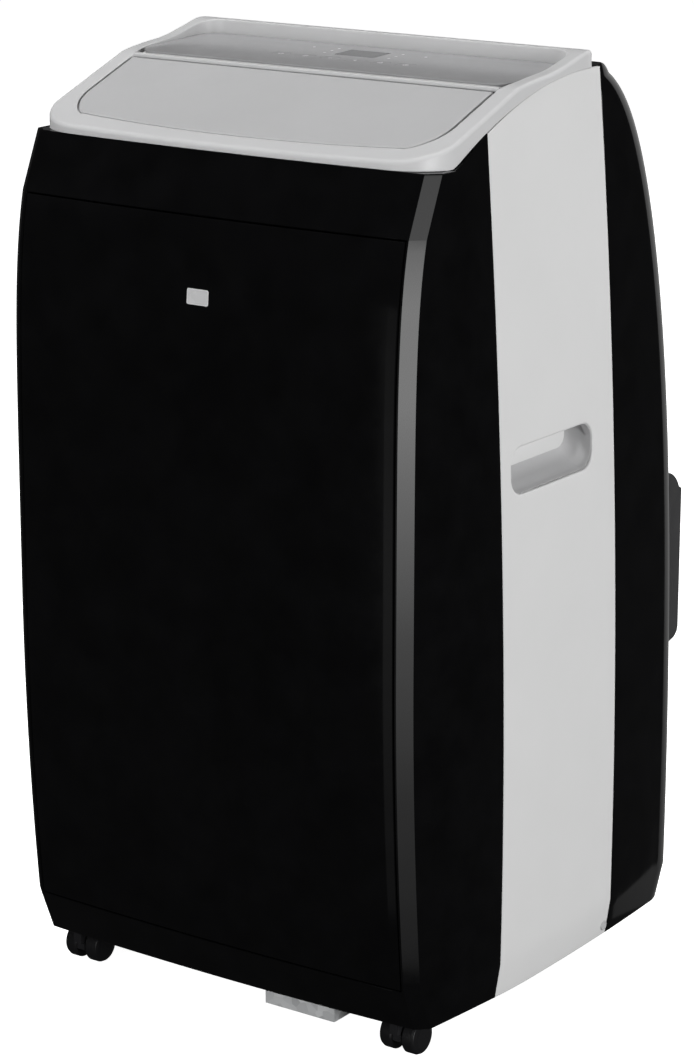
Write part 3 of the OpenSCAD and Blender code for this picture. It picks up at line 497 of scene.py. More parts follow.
def front_frame():
    cols = []
    # A flank column is the share of the way from the side panel to the bevel strip.
    for k in EASE:
        cols.append(("flank", R * k / FLANK, R * k, -1))
    cols += [("flank", t, FAR, -1) for t in steps(R / FLANK, 1, 22)[1:]]
    front = [(-1, FAR), (-PANEL / SEAM - 0.004, R), (-PANEL / SEAM - 0.002, 0.3), (-PANEL / SEAM, 0)]
    cols += [("front", u, d, 1) for u, d in front]
    cols += [("front", u, FAR, 1) for u in steps(-PANEL / SEAM, PANEL / SEAM, 40)[1:-1]]
    cols += [("front", -u, d, 1) for u, d in front[::-1]]
    cols += [(c[0], c[1], c[2], 1) for c in cols if c[0] == "flank"][::-1]
    left = cols.index(("front", front[-1][0], 0, 1))
    right = len(cols) - 1 - left
    rows = [("foot", k, R * k) for k in EASE]
    rows += [("foot", 1 + k * 2, FAR) for k in range(1, 9)]
    rows += [("z", z, FAR) for z in (50, 54, 58, 61, 63.5)]
    rows += [("z", 65.1, R), ("z", 65.6, 0.3), ("z", FOOT, 0)]
    low = len(rows) - 1
    rows += [("z", z, FAR) for z in steps(FOOT, CREASE, 72)[1:-1]]
    rows += [("z", CREASE, 0)]
    high = len(rows) - 1
    rows += [("z", 652.4, 0.3), ("z", 652.9, R)] + [("z", z, FAR) for z in (656, 660, 665, 670, HEAD)]
    rows += [("head", k, FAR) for k in (0.2, 0.4, 0.6, 0.8, 0.95)]
    rows += [("head", 1, R * k) for k in EASE][::-1]

    def point(c, r, s):
        kind, u, du, side = c
        foot = SHELL_LOW - FOOT_DIP * u * u if kind == "flank" else FRONT_LOW
        if r[0] == "foot":
            z = foot + R * r[1] if r[1] <= 1 else foot + R + (FOOT_TOP - foot - R) * (r[1] - 1) / 17
        elif r[0] == "z":
            z = r[1]
        else:
            v = bevel_v(TOP)
            y = SIDE_FRONT + u * (v[1] - SIDE_FRONT) if kind == "flank" else -190
            top = edge_z(y)
            z = HEAD + (top - R - HEAD) * r[1] if r[2] == FAR else top - r[2]
        face = kind == "front" and r[0] == "z"
        window = face and 0.985 < abs(u) <= 1 and du < FAR and FOOT <= r[1] <= CREASE
        band = face and r[2] < FAR and abs(u) <= PANEL / SEAM + 1e-6
        d = min(du if kind == "flank" or window else FAR, r[2] if r[0] != "z" or band else FAR)
        o = fillet(d, R) if s == 0 else 3.0
        if kind == "front":
            x, y = front_pt(u, z, o)
        else:
            v = bevel_v(z, o)
            y = SIDE_FRONT + GAP + u * (v[1] - SIDE_FRONT - GAP)
            x = side_x(y, z, o)
        return (side * x, y, z)

    return patch(cols, rows, point, lambda i, j: left <= i < right and low <= j < high)


add("front_frame_shell", *front_frame(), "gloss_black", "cabinet", ["front_frame"], sharp=20)


# ---------------------------------------------------------------- front panel
def front_panel():
    xs = edge_steps(-PANEL + 1, PANEL - 1, 44, R, R)
    zs = edge_steps(FOOT + 1, CREASE - 1, 90, R, R)

    def point(a, b, s):
        d = min(a[1], b[1])
        z, u = b[0], a[0] / SEAM
        x, y = front_pt(u, z, fillet(d, R) if s == 0 else 2.8)
        return (a[0], y, z)

    return patch(xs, zs, point)


add("front_panel_skin", *front_panel(), "gloss_black", "cabinet", ["front_panel"], sharp=20)

# The receiver window: a white rim round a pale grey lens.
RECEIVER_Z = 591.7
rim_out = round_rect(0, RECEIVER_Z, 20.5, 12.2, 1.6, 6)
rim_in = round_rect(0, RECEIVER_Z, 19.0, 10.7, 1.1, 6)


def on_panel(outline, d, scale=1.0):
    """An outline laid on the leaning front panel, d mm in front of its skin."""
    return [(x * scale, front_y(z) - d, RECEIVER_Z + (z - RECEIVER_Z) * scale) for x, z in outline]


rings = [on_panel(rim_out, -2.4), on_panel(rim_out, 0.0), on_panel(rim_out, 0.14, 0.985),
         on_panel(rim_in, 0.14), on_panel(rim_in, 0.05), on_panel(rim_in, -2.4)]
rim_v, rim_f = ring_loft(rings, (False, False))
k = len(rim_out)
rim_f += [[i, (i + 1) % k, 5 * k + (i + 1) % k, 5 * k + i] for i in range(k)]
add("receiver_rim", rim_v, rim_f, "receiver_lens", "cabinet", (), material=MATS["print_white"])
lens = [on_panel(rim_in, -1.5, 0.995), on_panel(rim_in, 0.08, 0.995)]
add("receiver_window_lens", *ring_loft(lens), "receiver_lens", "cabinet", ["receiver_window"])


# ---------------------------------------------------------------- side panels
GRIP = (-17.5, 460.0, 117.0, 37.0, 14.0)  # middle y and z, length, height and corner radius


def side_panel(side):
    cy, cz, w, h, r = GRIP
    n_long, n_short, n_arc, n_flat = 70, 36, 8, 12
    y0, y1, z0 = SIDE_FRONT + GAP, SIDE_REAR - GAP, SHELL_LOW
    near, far, low, high = cy - w / 2 + r, cy + w / 2 - r, cz - h / 2 + r, cz + h / 2 - r
    hole, out = [], []

    def segment(h_pts, o_pts):
        hole.extend(h_pts[:-1])
        out.extend(o_pts[:-1])

    def eighth(y, z, start):
        return arc(y, z, r, start, start + 45, n_arc)

    # The four sides of the grip, each from corner middle to corner middle.
    top_z = lambda y: edge_z(y) - 0.5
    along = [(w - 2 * r) * i / n_flat for i in range(1, n_flat)]
    right = eighth(far, low, -45) + eighth(far, high, 0)
    top = eighth(far, high, 45) + [(far - a, cz + h / 2) for a in along] + eighth(near, high, 90)
    left = eighth(near, high, 135) + eighth(near, low, 180)
    bottom = eighth(near, low, 225) + [(near + a, cz - h / 2) for a in along] + eighth(far, low, 270)

    def dense(pts, n):
        ls = [0]
        for a, b in zip(pts, pts[1:]):
            ls.append(ls[-1] + hypot(b[0] - a[0], b[1] - a[1]))
        res = []
        for i in range(n + 1):
            q = ls[-1] * i / n
            j = max(m for m in range(len(ls)) if ls[m] <= q + 1e-9)
            j = min(j, len(pts) - 2)
            f = (q - ls[j]) / max(1e-9, ls[j + 1] - ls[j])
            a, b = pts[j], pts[j + 1]
            res.append((a[0] + (b[0] - a[0]) * f, a[1] + (b[1] - a[1]) * f))
        return res

    segment(dense(right, n_long), [(y1, z) for z in steps(z0, top_z(y1), n_long)])
    segment(dense(top, n_short), [(y, top_z(y)) for y in steps(y1, y0, n_short)])
    segment(dense(left, n_long), [(y0, z) for z in steps(top_z(y0), z0, n_long)])
    segment(dense(bottom, n_short), [(y, z0) for y in steps(y0, y1, n_short)])

    def on_skin(p, o):
        return (side * side_x(p[0], p[1], o), p[0], p[1])

    def inset(p, d):
        """A boundary point moved inward by d, and its height kept off the edge."""
        y = min(max(p[0], y0 + d), y1 - d)
        z = min(max(p[1], z0 + d), top_z(y) - d)
        return (y, z)

    def grown(p, d):
        """A point of the grip's outline moved outward by d."""
        dy = p[0] - min(max(p[0], near), far)
        dz = p[1] - min(max(p[1], low), high)
        m = max(1e-9, hypot(dy, dz))
        return (p[0] + dy / m * d, p[1] + dz / m * d)

    lip = 1.6
    rings = [[on_skin(p, 3.0) for p in out]]
    for k in ROUND:
        rings.append([on_skin(inset(p, R * k), fillet(R * k, R)) for p in out])
    base_out = [inset(p, R) for p in out]
    base_in = [grown(p, lip) for p in hole]
    for t in steps(0, 1, 56)[1:-1]:
        q = 1 - (1 - t) ** 1.15
        between = [(a[0] + (b[0] - a[0]) * q, a[1] + (b[1] - a[1]) * q) for a, b in zip(base_out, base_in)]
        rings.append([on_skin(p, 0) for p in between])
    for k in ROUND[::-1]:
        rings.append([on_skin(grown(p, lip * k), fillet(lip * k, lip)) for p in hole])
    rings.append([on_skin(p, 3.0) for p in hole])
    v, f = ring_loft(rings, (False, False))
    n = len(out)
    last = (len(rings) - 1) * n
    f += [[i, (i + 1) % n, last + (i + 1) % n, last + i] for i in range(n)]
    return v, f


GRIP_FRONT = -76  # the well's front end, where the skin is furthest in
WELL_WALL = 1.2
WELL_RINGS = (  # depth, growth, lift of the upper edge, lift of the lower edge
    (1.6, 0, 0, 0), (4, -0.4, 0, 0.4), (7, -0.8, 0, 1.0), (9.5, -1.0, 15, 2.0), (14, -1.4, 16, 3.5),
    (19, -2.0, 16, 6.0), (24, -3.2, 15.5, 9.5), (28, -5.0, 15, 13.5), (31, -7.0, 14, 18.0), (33, -9.5, 12, 23.0))


def handle_pocket(side):
    """The finger well: a scooped floor that runs up into the back wall."""
    cy, cz, w, h, r = GRIP
    x0 = side_x(GRIP_FRONT, cz) - WELL_WALL
    n = 12

    def outline(grow, lift, shrink_low=0.0):
        pts = round_rect(cy, cz, w - 0.6 + 2 * grow, h - 0.6 + 2 * grow, r + grow, n)
        out = []
        for y, z in pts:
            share = (z - (cz - h / 2)) / h
            out.append((y, z + lift * share + shrink_low * (1 - share)))
        return out

    rings = []
    for depth, grow, lift, up in WELL_RINGS:
        rings.append([(side * (x0 + WELL_WALL - depth), y, z) for y, z in outline(grow, lift, up)])
    return ring_loft(rings, (False, True))


for side, name in HANDS:
    add("side_panel_%s_skin" % name, *side_panel(side), "side_grey", "cabinet", ["side_panel_%s" % name], sharp=30)
    # The finger well takes the darker top_grey in place of side_grey: painted shade in the recess of the grip.
    pocket = add("handle_pocket_%s_well" % name, *handle_pocket(side), "side_grey", "cabinet",
                 ["handle_pocket_%s" % name], sharp=40, material=MATS["top_grey"])
    thick = pocket.modifiers.new("wall", "SOLIDIFY")
    thick.thickness = 0.0012
    thick.offset = 1
    bake(pocket, 40)
    # The ledge that the fingers hook behind.
    ledge_x = side_x(GRIP_FRONT, GRIP[1]) - 8.0
    pts = [(-75.6, 478.4), (-75.6, 463.0)] + arc(2, 473, 10, -90, 0, 10) + [(12, 478.4)]
    ledge = add("grip_ledge_%s" % name, *prism(pts, "x", side * (ledge_x - 1.8), side * ledge_x), "side_grey",
                "cabinet", (), sharp=40)
    bevel(ledge, 0.6, 3)


# ---------------------------------------------------------------- rear cover
FLAT = 140  # half the width of the flat part of the rear
UPPER_OPENING = (-FLAT, FLAT, 455, 690)  # left, right, low and high
LOWER_OPENING = (-FLAT, 0, 95, 400)
PORT_LEFT, PORT_LOW, PORT_HIGH = 30, 244, 392
REAR_TOP = 753.56  # where the skin ends under the cover
BEYOND = 999  # stands for an x past the flat part


def along_curve(zs, step):
    """Heights between the two ends of zs, spaced evenly along the rear skin."""
    fine = steps(zs[0], zs[1], 600)
    run, out = 0.0, [fine[0]]
    for a, b in zip(fine, fine[1:]):
        run += hypot(b - a, rear_y(b) - rear_y(a))
        if run >= step:
            out.append(b)
            run = 0.0
    return out[:-1] + [fine[-1]]


def rear_cover():
    half = [("side", t, R * k) for t, k in ((0, 0), (0.004, 0.1), (0.010, 0.3), (0.018, 0.6), (0.03, 1))]
    half += [("side", t, FAR) for t in (0.15, 0.35, 0.55, 0.75, 0.9)]
    half += [("corner", t, FAR) for t in steps(0, 1, 16)]
    flat = [("rear", x, FAR) for x in steps(FLAT, PORT_LEFT, 10) + [20, 10] + steps(0, -FLAT, 14)]
    cols = [c + (1,) for c in half] + [c + (1,) for c in flat] + [c + (-1,) for c in half[::-1]]
    rows = [(SHELL_LOW + R * k, R * k) for k in ROUND]
    stops = (SHELL_LOW + R, FOOT, LOWER_OPENING[2], PORT_LOW, PORT_HIGH, LOWER_OPENING[3], UPPER_OPENING[2],
             600, UPPER_OPENING[3])
    for a, b in zip(stops, stops[1:]):
        rows += [(z, FAR) for z in steps(a, b, max(1, round((b - a) / 9)))[1:]]
    rows += [(z, FAR) for z in along_curve((UPPER_OPENING[3], REAR_TOP), 3.0)[1:]]

    def point(c, v, s):
        kind, t, d, side = c
        z = v[0]
        o = fillet(min(d, v[1]), R) if s == 0 else 3.0
        if kind == "side":
            y = SIDE_REAR + GAP + t * (rear_y(z, o) - rear_round(z, o) - SIDE_REAR - GAP)
            x = side_x(y, z, o)
        elif kind == "corner":
            x, y = corner_pt(t, z, o)
        else:
            x, y = t, rear_y(z, o)
        return (side * x, y, z - o * lid(z))

    def hole(i, j):
        x0, x1, z0, z1 = xs[i], xs[i + 1], rows[j][0], rows[j + 1][0]
        for left, right, low, high in (UPPER_OPENING, LOWER_OPENING):
            if left <= min(x0, x1) and max(x0, x1) <= right and low <= z0 and z1 <= high:
                return True
        return PORT_LEFT <= x1 and z0 >= PORT_LOW and z1 <= PORT_HIGH and (x0 <= FLAT or port_side[i])

    xs = [c[1] if c[0] == "rear" else c[3] * BEYOND for c in cols]
    port_side = [c[3] > 0 and c[0] == "corner" and c[1] >= 0.86 for c in cols]
    return patch(cols, rows, point, hole)


add("rear_cover_shell", *rear_cover(), "gloss_black", "cabinet", ["rear_cover"], sharp=24)


# ---------------------------------------------------------------- grilles and filters
def rimmed(a, b, rim, n, r):
    """Values from a to b with a rim's width marked off at both rounded ends."""
    middle = [(v, FAR) for v in steps(a + rim, b - rim, n)[1:-1]]
    return edge_steps(a, a + rim, 1, r, 0) + middle + edge_steps(b - rim, b, 1, 0, r)


def inset_box(box, dx, dz):
    return (box[0] + dx, box[1] - dx, box[2] + dz, box[3] - dz)


def rear_panel(x0, x1, z0, z1, o_out, o_in, rim=None, r=0.8):
    """A sheet that follows the rear skin, with an open middle if rim is (sides, ends)."""
    xs = edge_steps(x0, x1, 28, r, r)
    zs = edge_steps(z0, z1, 44, r, r)
    if rim:
        xs = rimmed(x0, x1, rim[0], 12, r)
        zs = rimmed(z0, z1, rim[1], 30, r)

    def hole(i, j):
        return bool(rim) and xs[i][0] > x0 + rim[0] - 0.01 and xs[i + 1][0] < x1 - rim[0] + 0.01 \
            and zs[j][0] > z0 + rim[1] - 0.01 and zs[j + 1][0] < z1 - rim[1] + 0.01

    def point(a, b, s):
        o = o_out + fillet(min(a[1], b[1]), r) if s == 0 else o_in
        return (a[0], rear_y(b[0], o), b[0])

    return patch(xs[::-1], zs, point, lambda i, j: hole(len(xs) - 2 - i, j))


# Open fault: in CAD each grille is on its filter's body and pulls out with it. These pieces stay on the cabinet.
def grille(name, x0, x1, z0, z1, slats, posts):
    add(name + "_rim", *rear_panel(x0, x1, z0, z1, 0.3, 10, (8, 7)), "gloss_black", "cabinet", [name])
    bars = []
    for i in range(slats):
        z = z0 + 7 + (z1 - z0 - 14) * (i + 0.5) / slats
        y = rear_y(z, 8)
        bars.append(prism(round_rect(y + 3.5, z, 7, 2.8, 1.2, 4), "x", x0 + 4, x1 - 4))
    add(name + "_slats", *merge(*bars), "gloss_black", "cabinet")
    middles = [x0 + (x1 - x0) * (i + 1) / (posts + 1) for i in range(posts)]
    stays = [rear_panel(x - 2, x + 2, z0 + 4, z1 - 4, 3, 9, None, 0.5) for x in middles]
    add(name + "_stays", *merge(*stays), "gloss_black", "cabinet")


def filter_piece(name, body, x0, x1, z0, z1):
    add(name + "_edge", *rear_panel(x0, x1, z0, z1, 10.6, 14, (6, 6), 0.6), "filter_net", body, [name],
        material=MATS["dark_plastic"])
    add(name + "_mesh", *rear_panel(x0 + 3, x1 - 3, z0 + 3, z1 - 3, 11.8, 12.8, None, 0.2), "filter_net", body)


grille("upper_grille", *inset_box(UPPER_OPENING, 1, 1), 24, 3)
grille("lower_grille", *inset_box(LOWER_OPENING, 1, 1), 32, 1)
filter_piece("upper_filter", body_of["upper_filter"], *inset_box(UPPER_OPENING, 6, 5))
filter_piece("lower_filter", body_of["lower_filter"], *inset_box(LOWER_OPENING, 5, 5))


# ---------------------------------------------------------------- exhaust port and hose adaptor
PORT_X, PORT_Z, PLATE_Z = 104, 316, 313
PORT_R, HOSE_R = 69.6, 65


def tube_cutter(cx, cz, r, y0, y1):
    return cutter(*prism(circle(cx, cz, r, 96), "y", y0, y1))


hump = [(150, 240), (200, 240), (229, 247), (234, 251), (235.6, 256), (235.6, 378), (233.4, 379)]
hump += arc(207.4, 370, 26, 20, 90, 14) + [(150, 396)]
port = add("exhaust_port_hood", *prism(hump, "x", 28, 180), "gloss_black", "cabinet", ["exhaust_port"],
           sharp=30, material=MATS["satin_black"])
bevel(port, 2.2, 4, 50)
recess = cutter(*prism(round_rect(PORT_X, PLATE_Z, 147, 136, 6), "y", 216, 260))
cut(port, tube_cutter(PORT_X, PORT_Z, PORT_R, 130, 260), recess)
plate = add("hose_adaptor_plate", *prism(round_rect(PORT_X, PLATE_Z, 146, 135, 5.6), "y", 230, 238), "dark_plastic",
            "hose_adaptor", ["hose_adaptor"], sharp=30)
bevel(plate, 1.0, 3, 40)
cut(plate, tube_cutter(PORT_X, PORT_Z, HOSE_R, 200, 260))
sleeve = [(HOSE_R, 208.4), (HOSE_R, 237.2), (65.4, 237.8), (67.6, 237.8), (68.2, 237.2), (68.4, 236.6), (68.4, 210),
          (67, 208), (65.6, 208)]
add("hose_adaptor_sleeve", *lathe(sleeve, lambda u, v, w: (PORT_X + u, w, PORT_Z + v), 96), "dark_plastic",
    "hose_adaptor")


# ---------------------------------------------------------------- outlet flap
RISE = 0.37
SLOPE = atan(RISE)
HINGE_Y, HINGE_Z = -54.75, 740.3


def flap_point(x, v, w):
    return (x, HINGE_Y + v * cos(SLOPE) - w * sin(SLOPE), HINGE_Z + v * sin(SLOPE) + w * cos(SLOPE))


def offset(outline, d):
    """A closed outline moved inward by d; it runs anticlockwise."""
    out, n = [], len(outline)
    for i in range(n):
        a, b = outline[i - 1], outline[(i + 1) % n]
        m = max(1e-9, hypot(b[0] - a[0], b[1] - a[1]))
        out.append((outline[i][0] - (b[1] - a[1]) / m * d, outline[i][1] + (b[0] - a[0]) / m * d))
    return out


def shallow_arc(chord, base):
    """The bow of the flap's front edge, 8 mm deep over half a chord."""
    r = (chord ** 2 + 64) / 16
    return lambda x: base + r - sqrt(r ** 2 - x * x)


FLAP_CORNER = (127, -55.5)


def flap_outline():
    curve = shallow_arc(144, -100.5)
    cx, cy = FLAP_CORNER
    front = [(x, curve(x)) for x in steps(-cx, cx, 40)]
    corner = [(x, max(y, curve(min(x, 150)))) for x, y in arc(cx, cy, 45, -84, 0, 16)]
    side = [(172, y) for y in steps(cy, 1.0, 8)[1:]]
    hinge = [(x, 2.4) for x in steps(170.8, -170.8, 30)]
    return front + corner + side + hinge + [(-x, y) for x, y in (corner + side)[::-1]]


edge = flap_outline()
rings = [[flap_point(x, v, 0.3) for x, v in offset(edge, 0.3)]]
rings += [[flap_point(x, v, w) for x, v in offset(edge, d)] for d, w in
          ((0, 0.6), (0, 2.8), (0.09, 3.25), (0.35, 3.65), (0.75, 3.92), (1.2, 4.0), (1.7, 4.0))]
add("outlet_flap_leaf", *ring_loft(rings), "flap_grey", "flap", ["outlet_flap"], sharp=50)
barrel = [(0.01, -180), (2.5, -180), (2.5, -172), (3.4, -172), (4, -171.4)]
barrel += [(r, -along) for r, along in barrel[::-1]]
add("outlet_flap_barrel", *lathe(barrel, lambda u, v, w: flap_point(w, u, v), 40), "flap_grey", "flap")


# ---------------------------------------------------------------- top cover
CREST = ((-60, 742.6), (-46, 747.78), (-20, 751.6), (7, 754.4), (34, 760.4), (50, 764.4), (56, 765.0), (62, 764.6),
         (70, 760.5), (76, 753.6))
DECK_Z, DECK_TILT = 749.2, radians(2.6)


def deck_point(x, y, w):
    """A point w above the tilted key deck."""
    t = DECK_TILT
    return (x, y * cos(t) - w * sin(t), DECK_Z + y * sin(t) + w * cos(t))


def crest(y):
    """Height of the cover's upper face: the outlet ramp, then a soft sweep up to the rim and over it."""
    if y <= -46:
        return 764.8 + RISE * y
    pts = CREST
    i = max(m for m in range(1, len(pts) - 1) if pts[m][0] <= max(y, pts[1][0]))
    i = min(i, len(pts) - 2)
    (x0, h0), (x1, h1) = pts[i], pts[i + 1]
    before, after = pts[i - 1], pts[min(i + 2, len(pts) - 1)]
    m0 = (h1 - before[1]) / (x1 - before[0])
    m1 = (after[1] - h0) / (after[0] - x0)
    t, w = min(1.0, (y - x0) / (x1 - x0)), x1 - x0
    return (2 * t ** 3 - 3 * t * t + 1) * h0 + (t ** 3 - 2 * t * t + t) * w * m0 \
        + (3 * t * t - 2 * t ** 3) * h1 + (t ** 3 - t * t) * w * m1


def mirrored_loop(half):
    """A closed anticlockwise outline from its right half, which runs from the front middle to the rear middle."""
    return half + [(-x, y) for x, y in half[-2:0:-1]]


def cover_outer():
    bow = lambda x, y: y + 7 * (x / 190.5) ** 2 * min(1, max(0, (-126 - y) / 40))
    half = [(x, bow(x, -166)) for x in steps(0, 150.5, 24)]
    half += [(x, bow(x, y)) for x, y in arc(150.5, -126, 40, -90, 0, 16)[1:]]
    half += [(190.5, y) for y in steps(-126, -50, 20)[1:] + steps(-50, -26, 8)[1:] + steps(-26, 50.6, 16)[1:]]
    half += arc(166.5, 50.6, 24, 0, 90, 14)[1:]
    return mirrored_loop(half + [(x, 74.6) for x in steps(166.5, 0, 24)[1:]])


def cover_inner():
    c = cos(SLOPE)
    cx, cv = FLAP_CORNER
    curve = shallow_arc(146, -102.5)
    half = [(x, HINGE_Y + c * curve(x)) for x in steps(0, cx, 24)]
    half += [(x, HINGE_Y + c * max(v, curve(min(x, 150)))) for x, v in arc(cx, cv, 47, -90, 0, 16)[1:]]
    y0 = HINGE_Y + cv * c
    half += [(174, y) for y in steps(y0, -50, 20)[1:]]
    half += [(174 + 4 * sin(pi / 2 * (y + 50) / 24), y) for y in steps(-50, -26, 8)[1:]]
    half += [(178, y) for y in steps(-26, 35, 16)[1:]]
    half += arc(160, 35, 18, 0, 90, 14)[1:]
    return mirrored_loop(half + [(x, 53) for x in steps(160, 0, 24)[1:]])


def top_cover():
    outer, inner = cover_outer(), cover_inner()
    foot = lambda y: edge_z(y) + 0.3 if y < 58 else min(edge_z(y) + 0.3, 752.0 - (y - 58) * 0.25)
    floor_z = lambda y: crest(y) - 5.2 if y < -48 else min(crest(y) - 2.0, 748.9 + 0.0454 * y)
    soft, fine = 3.2, 1.1
    rings = [[(x, y, foot(y)) for x, y in outer]]
    for a in steps(0, 90, 6):
        d = soft * (1 - cos(radians(a)))
        rings.append([(x, y, max(foot(y), crest(y) - soft * (1 - sin(radians(a))))) for x, y in offset(outer, d)])
    shore, start = offset(inner, -fine - 0.2), offset(outer, soft + 0.3)
    for t in steps(0, 1, 12):
        rings.append([(a[0] + (b[0] - a[0]) * t, a[1] + (b[1] - a[1]) * t) for a, b in zip(start, shore)])
        rings[-1] = [(x, y, crest(y)) for x, y in rings[-1]]
    for a in steps(90, 0, 4):
        lip = offset(inner, -fine * (1 - cos(radians(a))))
        rings.append([(x, y, crest(y) - fine * (1 - sin(radians(a)))) for x, y in lip])
    rings.append([(x, y, floor_z(y)) for x, y in inner])
    # The ledge under the flap stops short of the hinge, where the open flap dips.
    ledge = [far if far[1] < -62 else near for far, near in zip(offset(inner, 5), offset(inner, 0.4))]
    rings.append([(x, y, floor_z(y)) for x, y in ledge])
    rings.append([(x, y, floor_z(y) - 1.6) for x, y in ledge])
    rings.append([(x, y, floor_z(y) - 1.6) for x, y in offset(inner, -2)])
    rings.append([(x, y, max(floor_z(y) - 1.6, foot(y))) for x, y in offset(outer, 2.6)])
    v, f = ring_loft(rings, (False, False))
    n, last = len(outer), (len(rings) - 1) * len(outer)
    f += [[i, (i + 1) % n, last + (i + 1) % n, last + i] for i in range(n)]
    return v, f


add("top_cover_shell", *top_cover(), "top_grey", "cabinet", ["top_cover"], sharp=34)
for hand, name in HANDS:
    corner = [(138, -157.0), (180, -157.6), (190.4, -148.6), (191.2, -112), (138, -112)]
    shoulder = add("front_frame_shoulder_" + name, *prism([(hand * x, y) for x, y in corner], "z", 695.4, 697.9),
                   "gloss_black", "cabinet", (), material=MATS["satin_black"])
    bevel(shoulder, 0.5, 3)
add("top_cover_bridge", *prism(round_rect(-47.1, 745.6, 6.4, 3.6, 0.9, 4), "x", -174.5, 174.5), "top_grey", "cabinet",
    ())
pan_v, pan_f = prism(round_rect(0, 4.5, 352, 94, 17, 8), "z", -2.2, -0.15)
pan = add("deck_pan", [deck_point(*p) for p in pan_v], pan_f, "top_grey", "cabinet", ())
cut(pan, cutter(*prism(round_rect(0, 9, 156, 64, 3), "z", 700, 800)))


# ---------------------------------------------------------------- screw caps low on the side panels
CAP_Y, CAP_Z = 69, 45
cap_x = side_x(CAP_Y, CAP_Z) + 0.45
cap = [(0.01, 0.35), (1.2, 0.35), (1.5, 0.1), (2.6, 0.1), (3.0, 0.5), (3.9, 0.5), (4.2, 0.2), (4.2, -2.0),
       (0.01, -2.0)]
for hand, name in HANDS:
    turned = lathe(cap, lambda u, v, w: (hand * (cap_x + w), CAP_Y + u, CAP_Z + v), 40)
    add("screw_cap_" + name, *turned, "galvanised", "cabinet",
        ["panel_screws"] if hand > 0 else (), material=MATS["flap_grey"])


# ---------------------------------------------------------------- refined copies of CAD solids
def refined(node, width, segments=2, angle=30, sharp=28):
    """A new piece made from a CAD node's shape with its edges softened. The node itself stays as it is."""
    me = nodes[node].data.copy()
    me.name = node + "_soft"
    b = bmesh.new()
    b.from_mesh(me)
    bmesh.ops.remove_doubles(b, verts=b.verts, dist=2e-6)
    bmesh.ops.dissolve_limit(b, angle_limit=radians(0.6), verts=b.verts, edges=b.edges)
    b.to_mesh(me)
    b.free()
    me.materials.clear()
    me.materials.append(MATS[slot_of[node]])
    ob = bevel(new_object(node + "_soft", me), width, segments, angle, sharp)
    n = ob.modifiers.new("normals", "WEIGHTED_NORMAL")
    n.keep_sharp = True
    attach(ob, body_of[node])
    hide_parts(node)
    return ob


KEYS = ("power", "mode", "down", "up", "fan", "timer")
KEY_PITCH = 24
refined("control_panel", 0.25)
refined("display_window", 0.3)
refined("indicator_lamps", 0.2)
refined("chassis_rail", 0.6)
refined("base_tray", 0.7)
for key in KEYS:
    refined("key_" + key, 0.35, 3)
for end in ("front", "rear"):
    for hand in ("left", "right"):
        refined("caster_hood_%s_%s" % (end, hand), 0.6, 3)
        refined("caster_wheels_%s_%s" % (end, hand), 0.5, 3)


# ---------------------------------------------------------------- generic key symbols
def stroke(pts, cx, low=1.59, high=1.63, width=0.42):
    """A line of flat boxes on the face of the key at cx."""
    parts = []
    for a, b in zip(pts, pts[1:]):
        m = max(1e-6, hypot(b[0] - a[0], b[1] - a[1]))
        nx, ny = -(b[1] - a[1]) / m * width / 2, (b[0] - a[0]) / m * width / 2
        quad = [(a[0] + nx, a[1] + ny), (b[0] + nx, b[1] + ny), (b[0] - nx, b[1] - ny), (a[0] - nx, a[1] - ny)]
        v = [deck_point(cx + x, y - 5, w) for w in (low, high) for x, y in quad]
        parts.append((v, [[0, 1, 2, 3], [7, 6, 5, 4]] + [[i, i + 4, (i + 1) % 4 + 4, (i + 1) % 4] for i in range(4)]))
    return parts


SYMBOLS = {
    "power": [arc(0, 0, 1.9, 125, 415, 16), [(0, 0.6), (0, 2.5)]],
    "mode": [arc(0, 0, 2.0, 20, 160, 8), arc(0, 0, 2.0, 200, 340, 8), [(-0.5, 0), (0.5, 0)]],
    "down": [[(-1.7, 0), (1.7, 0)]],
    "up": [[(-1.7, 0), (1.7, 0)], [(0, -1.7), (0, 1.7)]],
    "fan": [arc(1.1 * cos(radians(a)), 1.1 * sin(radians(a)), 1.05, a - 130, a + 130, 10) for a in (90, 210, 330)],
    "timer": [arc(0, 0, 2.1, 0, 360, 20), [(0, 1.3), (0, 0), (1.0, 0)]],
}
for i, key in enumerate(KEYS):
    parts = [q for line in SYMBOLS[key] for q in stroke(line, (i - 2.5) * KEY_PITCH)]
    add("symbol_" + key, *merge(*parts), "deck_film", "key_" + key, (), material=MATS["print_white"], fix=False)


# ---------------------------------------------------------------- the CAD nodes that stay
for name, ob in nodes.items():
    ob.data.materials.clear()
    ob.data.materials.append(MATS[slot_of[name]])


# ---------------------------------------------------------------- floor, light and finish
def plane(name, size, place, aim, material):
    me = bpy.data.meshes.new(name)
    a, b = size[0] / 2, size[1] / 2
    me.from_pydata([(-a, -b, 0), (a, -b, 0), (a, b, 0), (-a, b, 0)], [], [[0, 1, 2, 3]])
    me.materials.append(material)
    ob = new_object(name, me)
    ob.location = place
    if aim is not None:
        ob.rotation_euler = (Vector(aim) - Vector(place)).to_track_quat("Z", "Y").to_euler()
    return ob


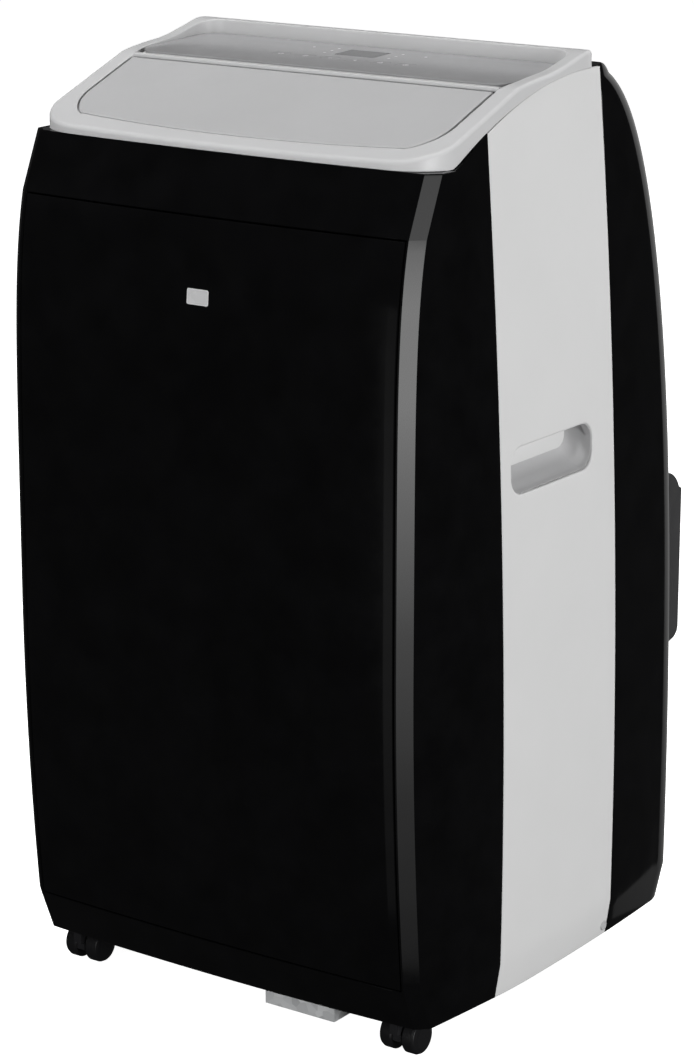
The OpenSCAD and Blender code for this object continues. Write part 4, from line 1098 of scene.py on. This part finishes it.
def card(name, place, size, aim, stops):
    """A soft reflector that only gloss sees. stops gives (share of its height, strength)."""
    m = bpy.data.materials.new(name)
    m.use_nodes = True
    t = m.node_tree
    t.nodes.clear()
    out, e = t.nodes.new("ShaderNodeOutputMaterial"), t.nodes.new("ShaderNodeEmission")
    c, x = t.nodes.new("ShaderNodeTexCoord"), t.nodes.new("ShaderNodeSeparateXYZ")
    t.links.new(c.outputs["Generated"], x.inputs[0])
    top = max(v for _, v in stops)
    ramp = t.nodes.new("ShaderNodeValToRGB")
    while len(ramp.color_ramp.elements) < len(stops):
        ramp.color_ramp.elements.new(0.5)
    for knob, (at, v) in zip(ramp.color_ramp.elements, stops):
        knob.position = at
        knob.color = (v / top, v / top, v / top, 1)
    t.links.new(x.outputs["Y"], ramp.inputs[0])
    t.links.new(ramp.outputs[0], e.inputs["Color"])
    e.inputs["Strength"].default_value = top
    t.links.new(e.outputs[0], out.inputs[0])
    ob = plane(name, size, place, aim, m)
    ob.visible_camera = ob.visible_diffuse = ob.visible_shadow = ob.visible_transmission = False


def softbox(name, place, aim, size, watts):
    light = bpy.data.lights.new(name, "AREA")
    light.shape = "RECTANGLE"
    light.size, light.size_y = size
    light.energy = watts
    ob = new_object(name, light)
    ob.location = place
    ob.rotation_euler = (Vector(aim) - Vector(place)).to_track_quat("-Z", "Y").to_euler()
    ob.visible_camera = ob.visible_glossy = False


fm, ft, fp = new_material("studio_floor")
ft.links.new(shades(ft, noise(ft, 3), (0.90, 0.90, 0.90), (0.92, 0.92, 0.92)), fp.inputs["Base Color"])
fp.inputs["Roughness"].default_value = 0.9
fp.inputs["Emission Color"].default_value = (1, 1, 1, 1)
fp.inputs["Emission Strength"].default_value = 0.95
floor = plane("floor", (60, 60), (0, 0, -0.0004), None, fm)
floor.visible_glossy = floor.visible_diffuse = False

studio = bpy.data.worlds.new("studio")
bpy.context.scene.world = studio
studio.use_nodes = True
sky = studio.node_tree.nodes["Background"]
sky.inputs[0].default_value = (1, 1, 1, 1)
sky.inputs[1].default_value = 0.02
bpy.context.scene.view_settings.view_transform = "Standard"

softbox("top_softbox", (-0.7, -0.3, 3.4), (0, 0, 0.5), (2.4, 2.6), 96)
softbox("right_softbox", (4.6, -0.8, 0.85), (0, 0, 0.3), (2.6, 1.6), 218)
softbox("front_softbox", (-0.9, -3.6, 0.9), (0, 0, 0.35), (2.4, 1.6), 78)
softbox("left_softbox", (-4.2, 0.6, 0.9), (0, 0, 0.35), (2.4, 1.6), 14)
softbox("rear_softbox", (0.4, 3.8, 1.0), (0, 0, 0.4), (2.4, 2.4), 80)
card("corner_card", (1.10, -0.88, 0.55), (0.50, 2.20), (0.187, -0.205, 0.6),
     ((0.0, 0.25), (0.14, 0.6), (0.25, 1.3), (0.39, 4.6), (0.5, 4.6), (0.62, 3.2), (0.78, 1.6), (1.0, 0.8)))
card("panel_card", (-0.45, -1.9, -0.1), (0.5, 1.4), (0.17, -0.21, 0.36), ((0.0, 0.08), (0.5, 0.22), (1.0, 0.1)))
card("rear_card", (0.1, 2.6, -0.1), (2.0, 2.6), (0.2, 0.15, 0.4), ((0.0, 0.10), (0.5, 0.35), (1.0, 0.5)))
card("sky_card", (0.3, 2.6, 2.4), (3.0, 1.6), (0, 0, 0.75), ((0.0, 0.5), (1.0, 0.9)))

bpy.context.view_layer.update()
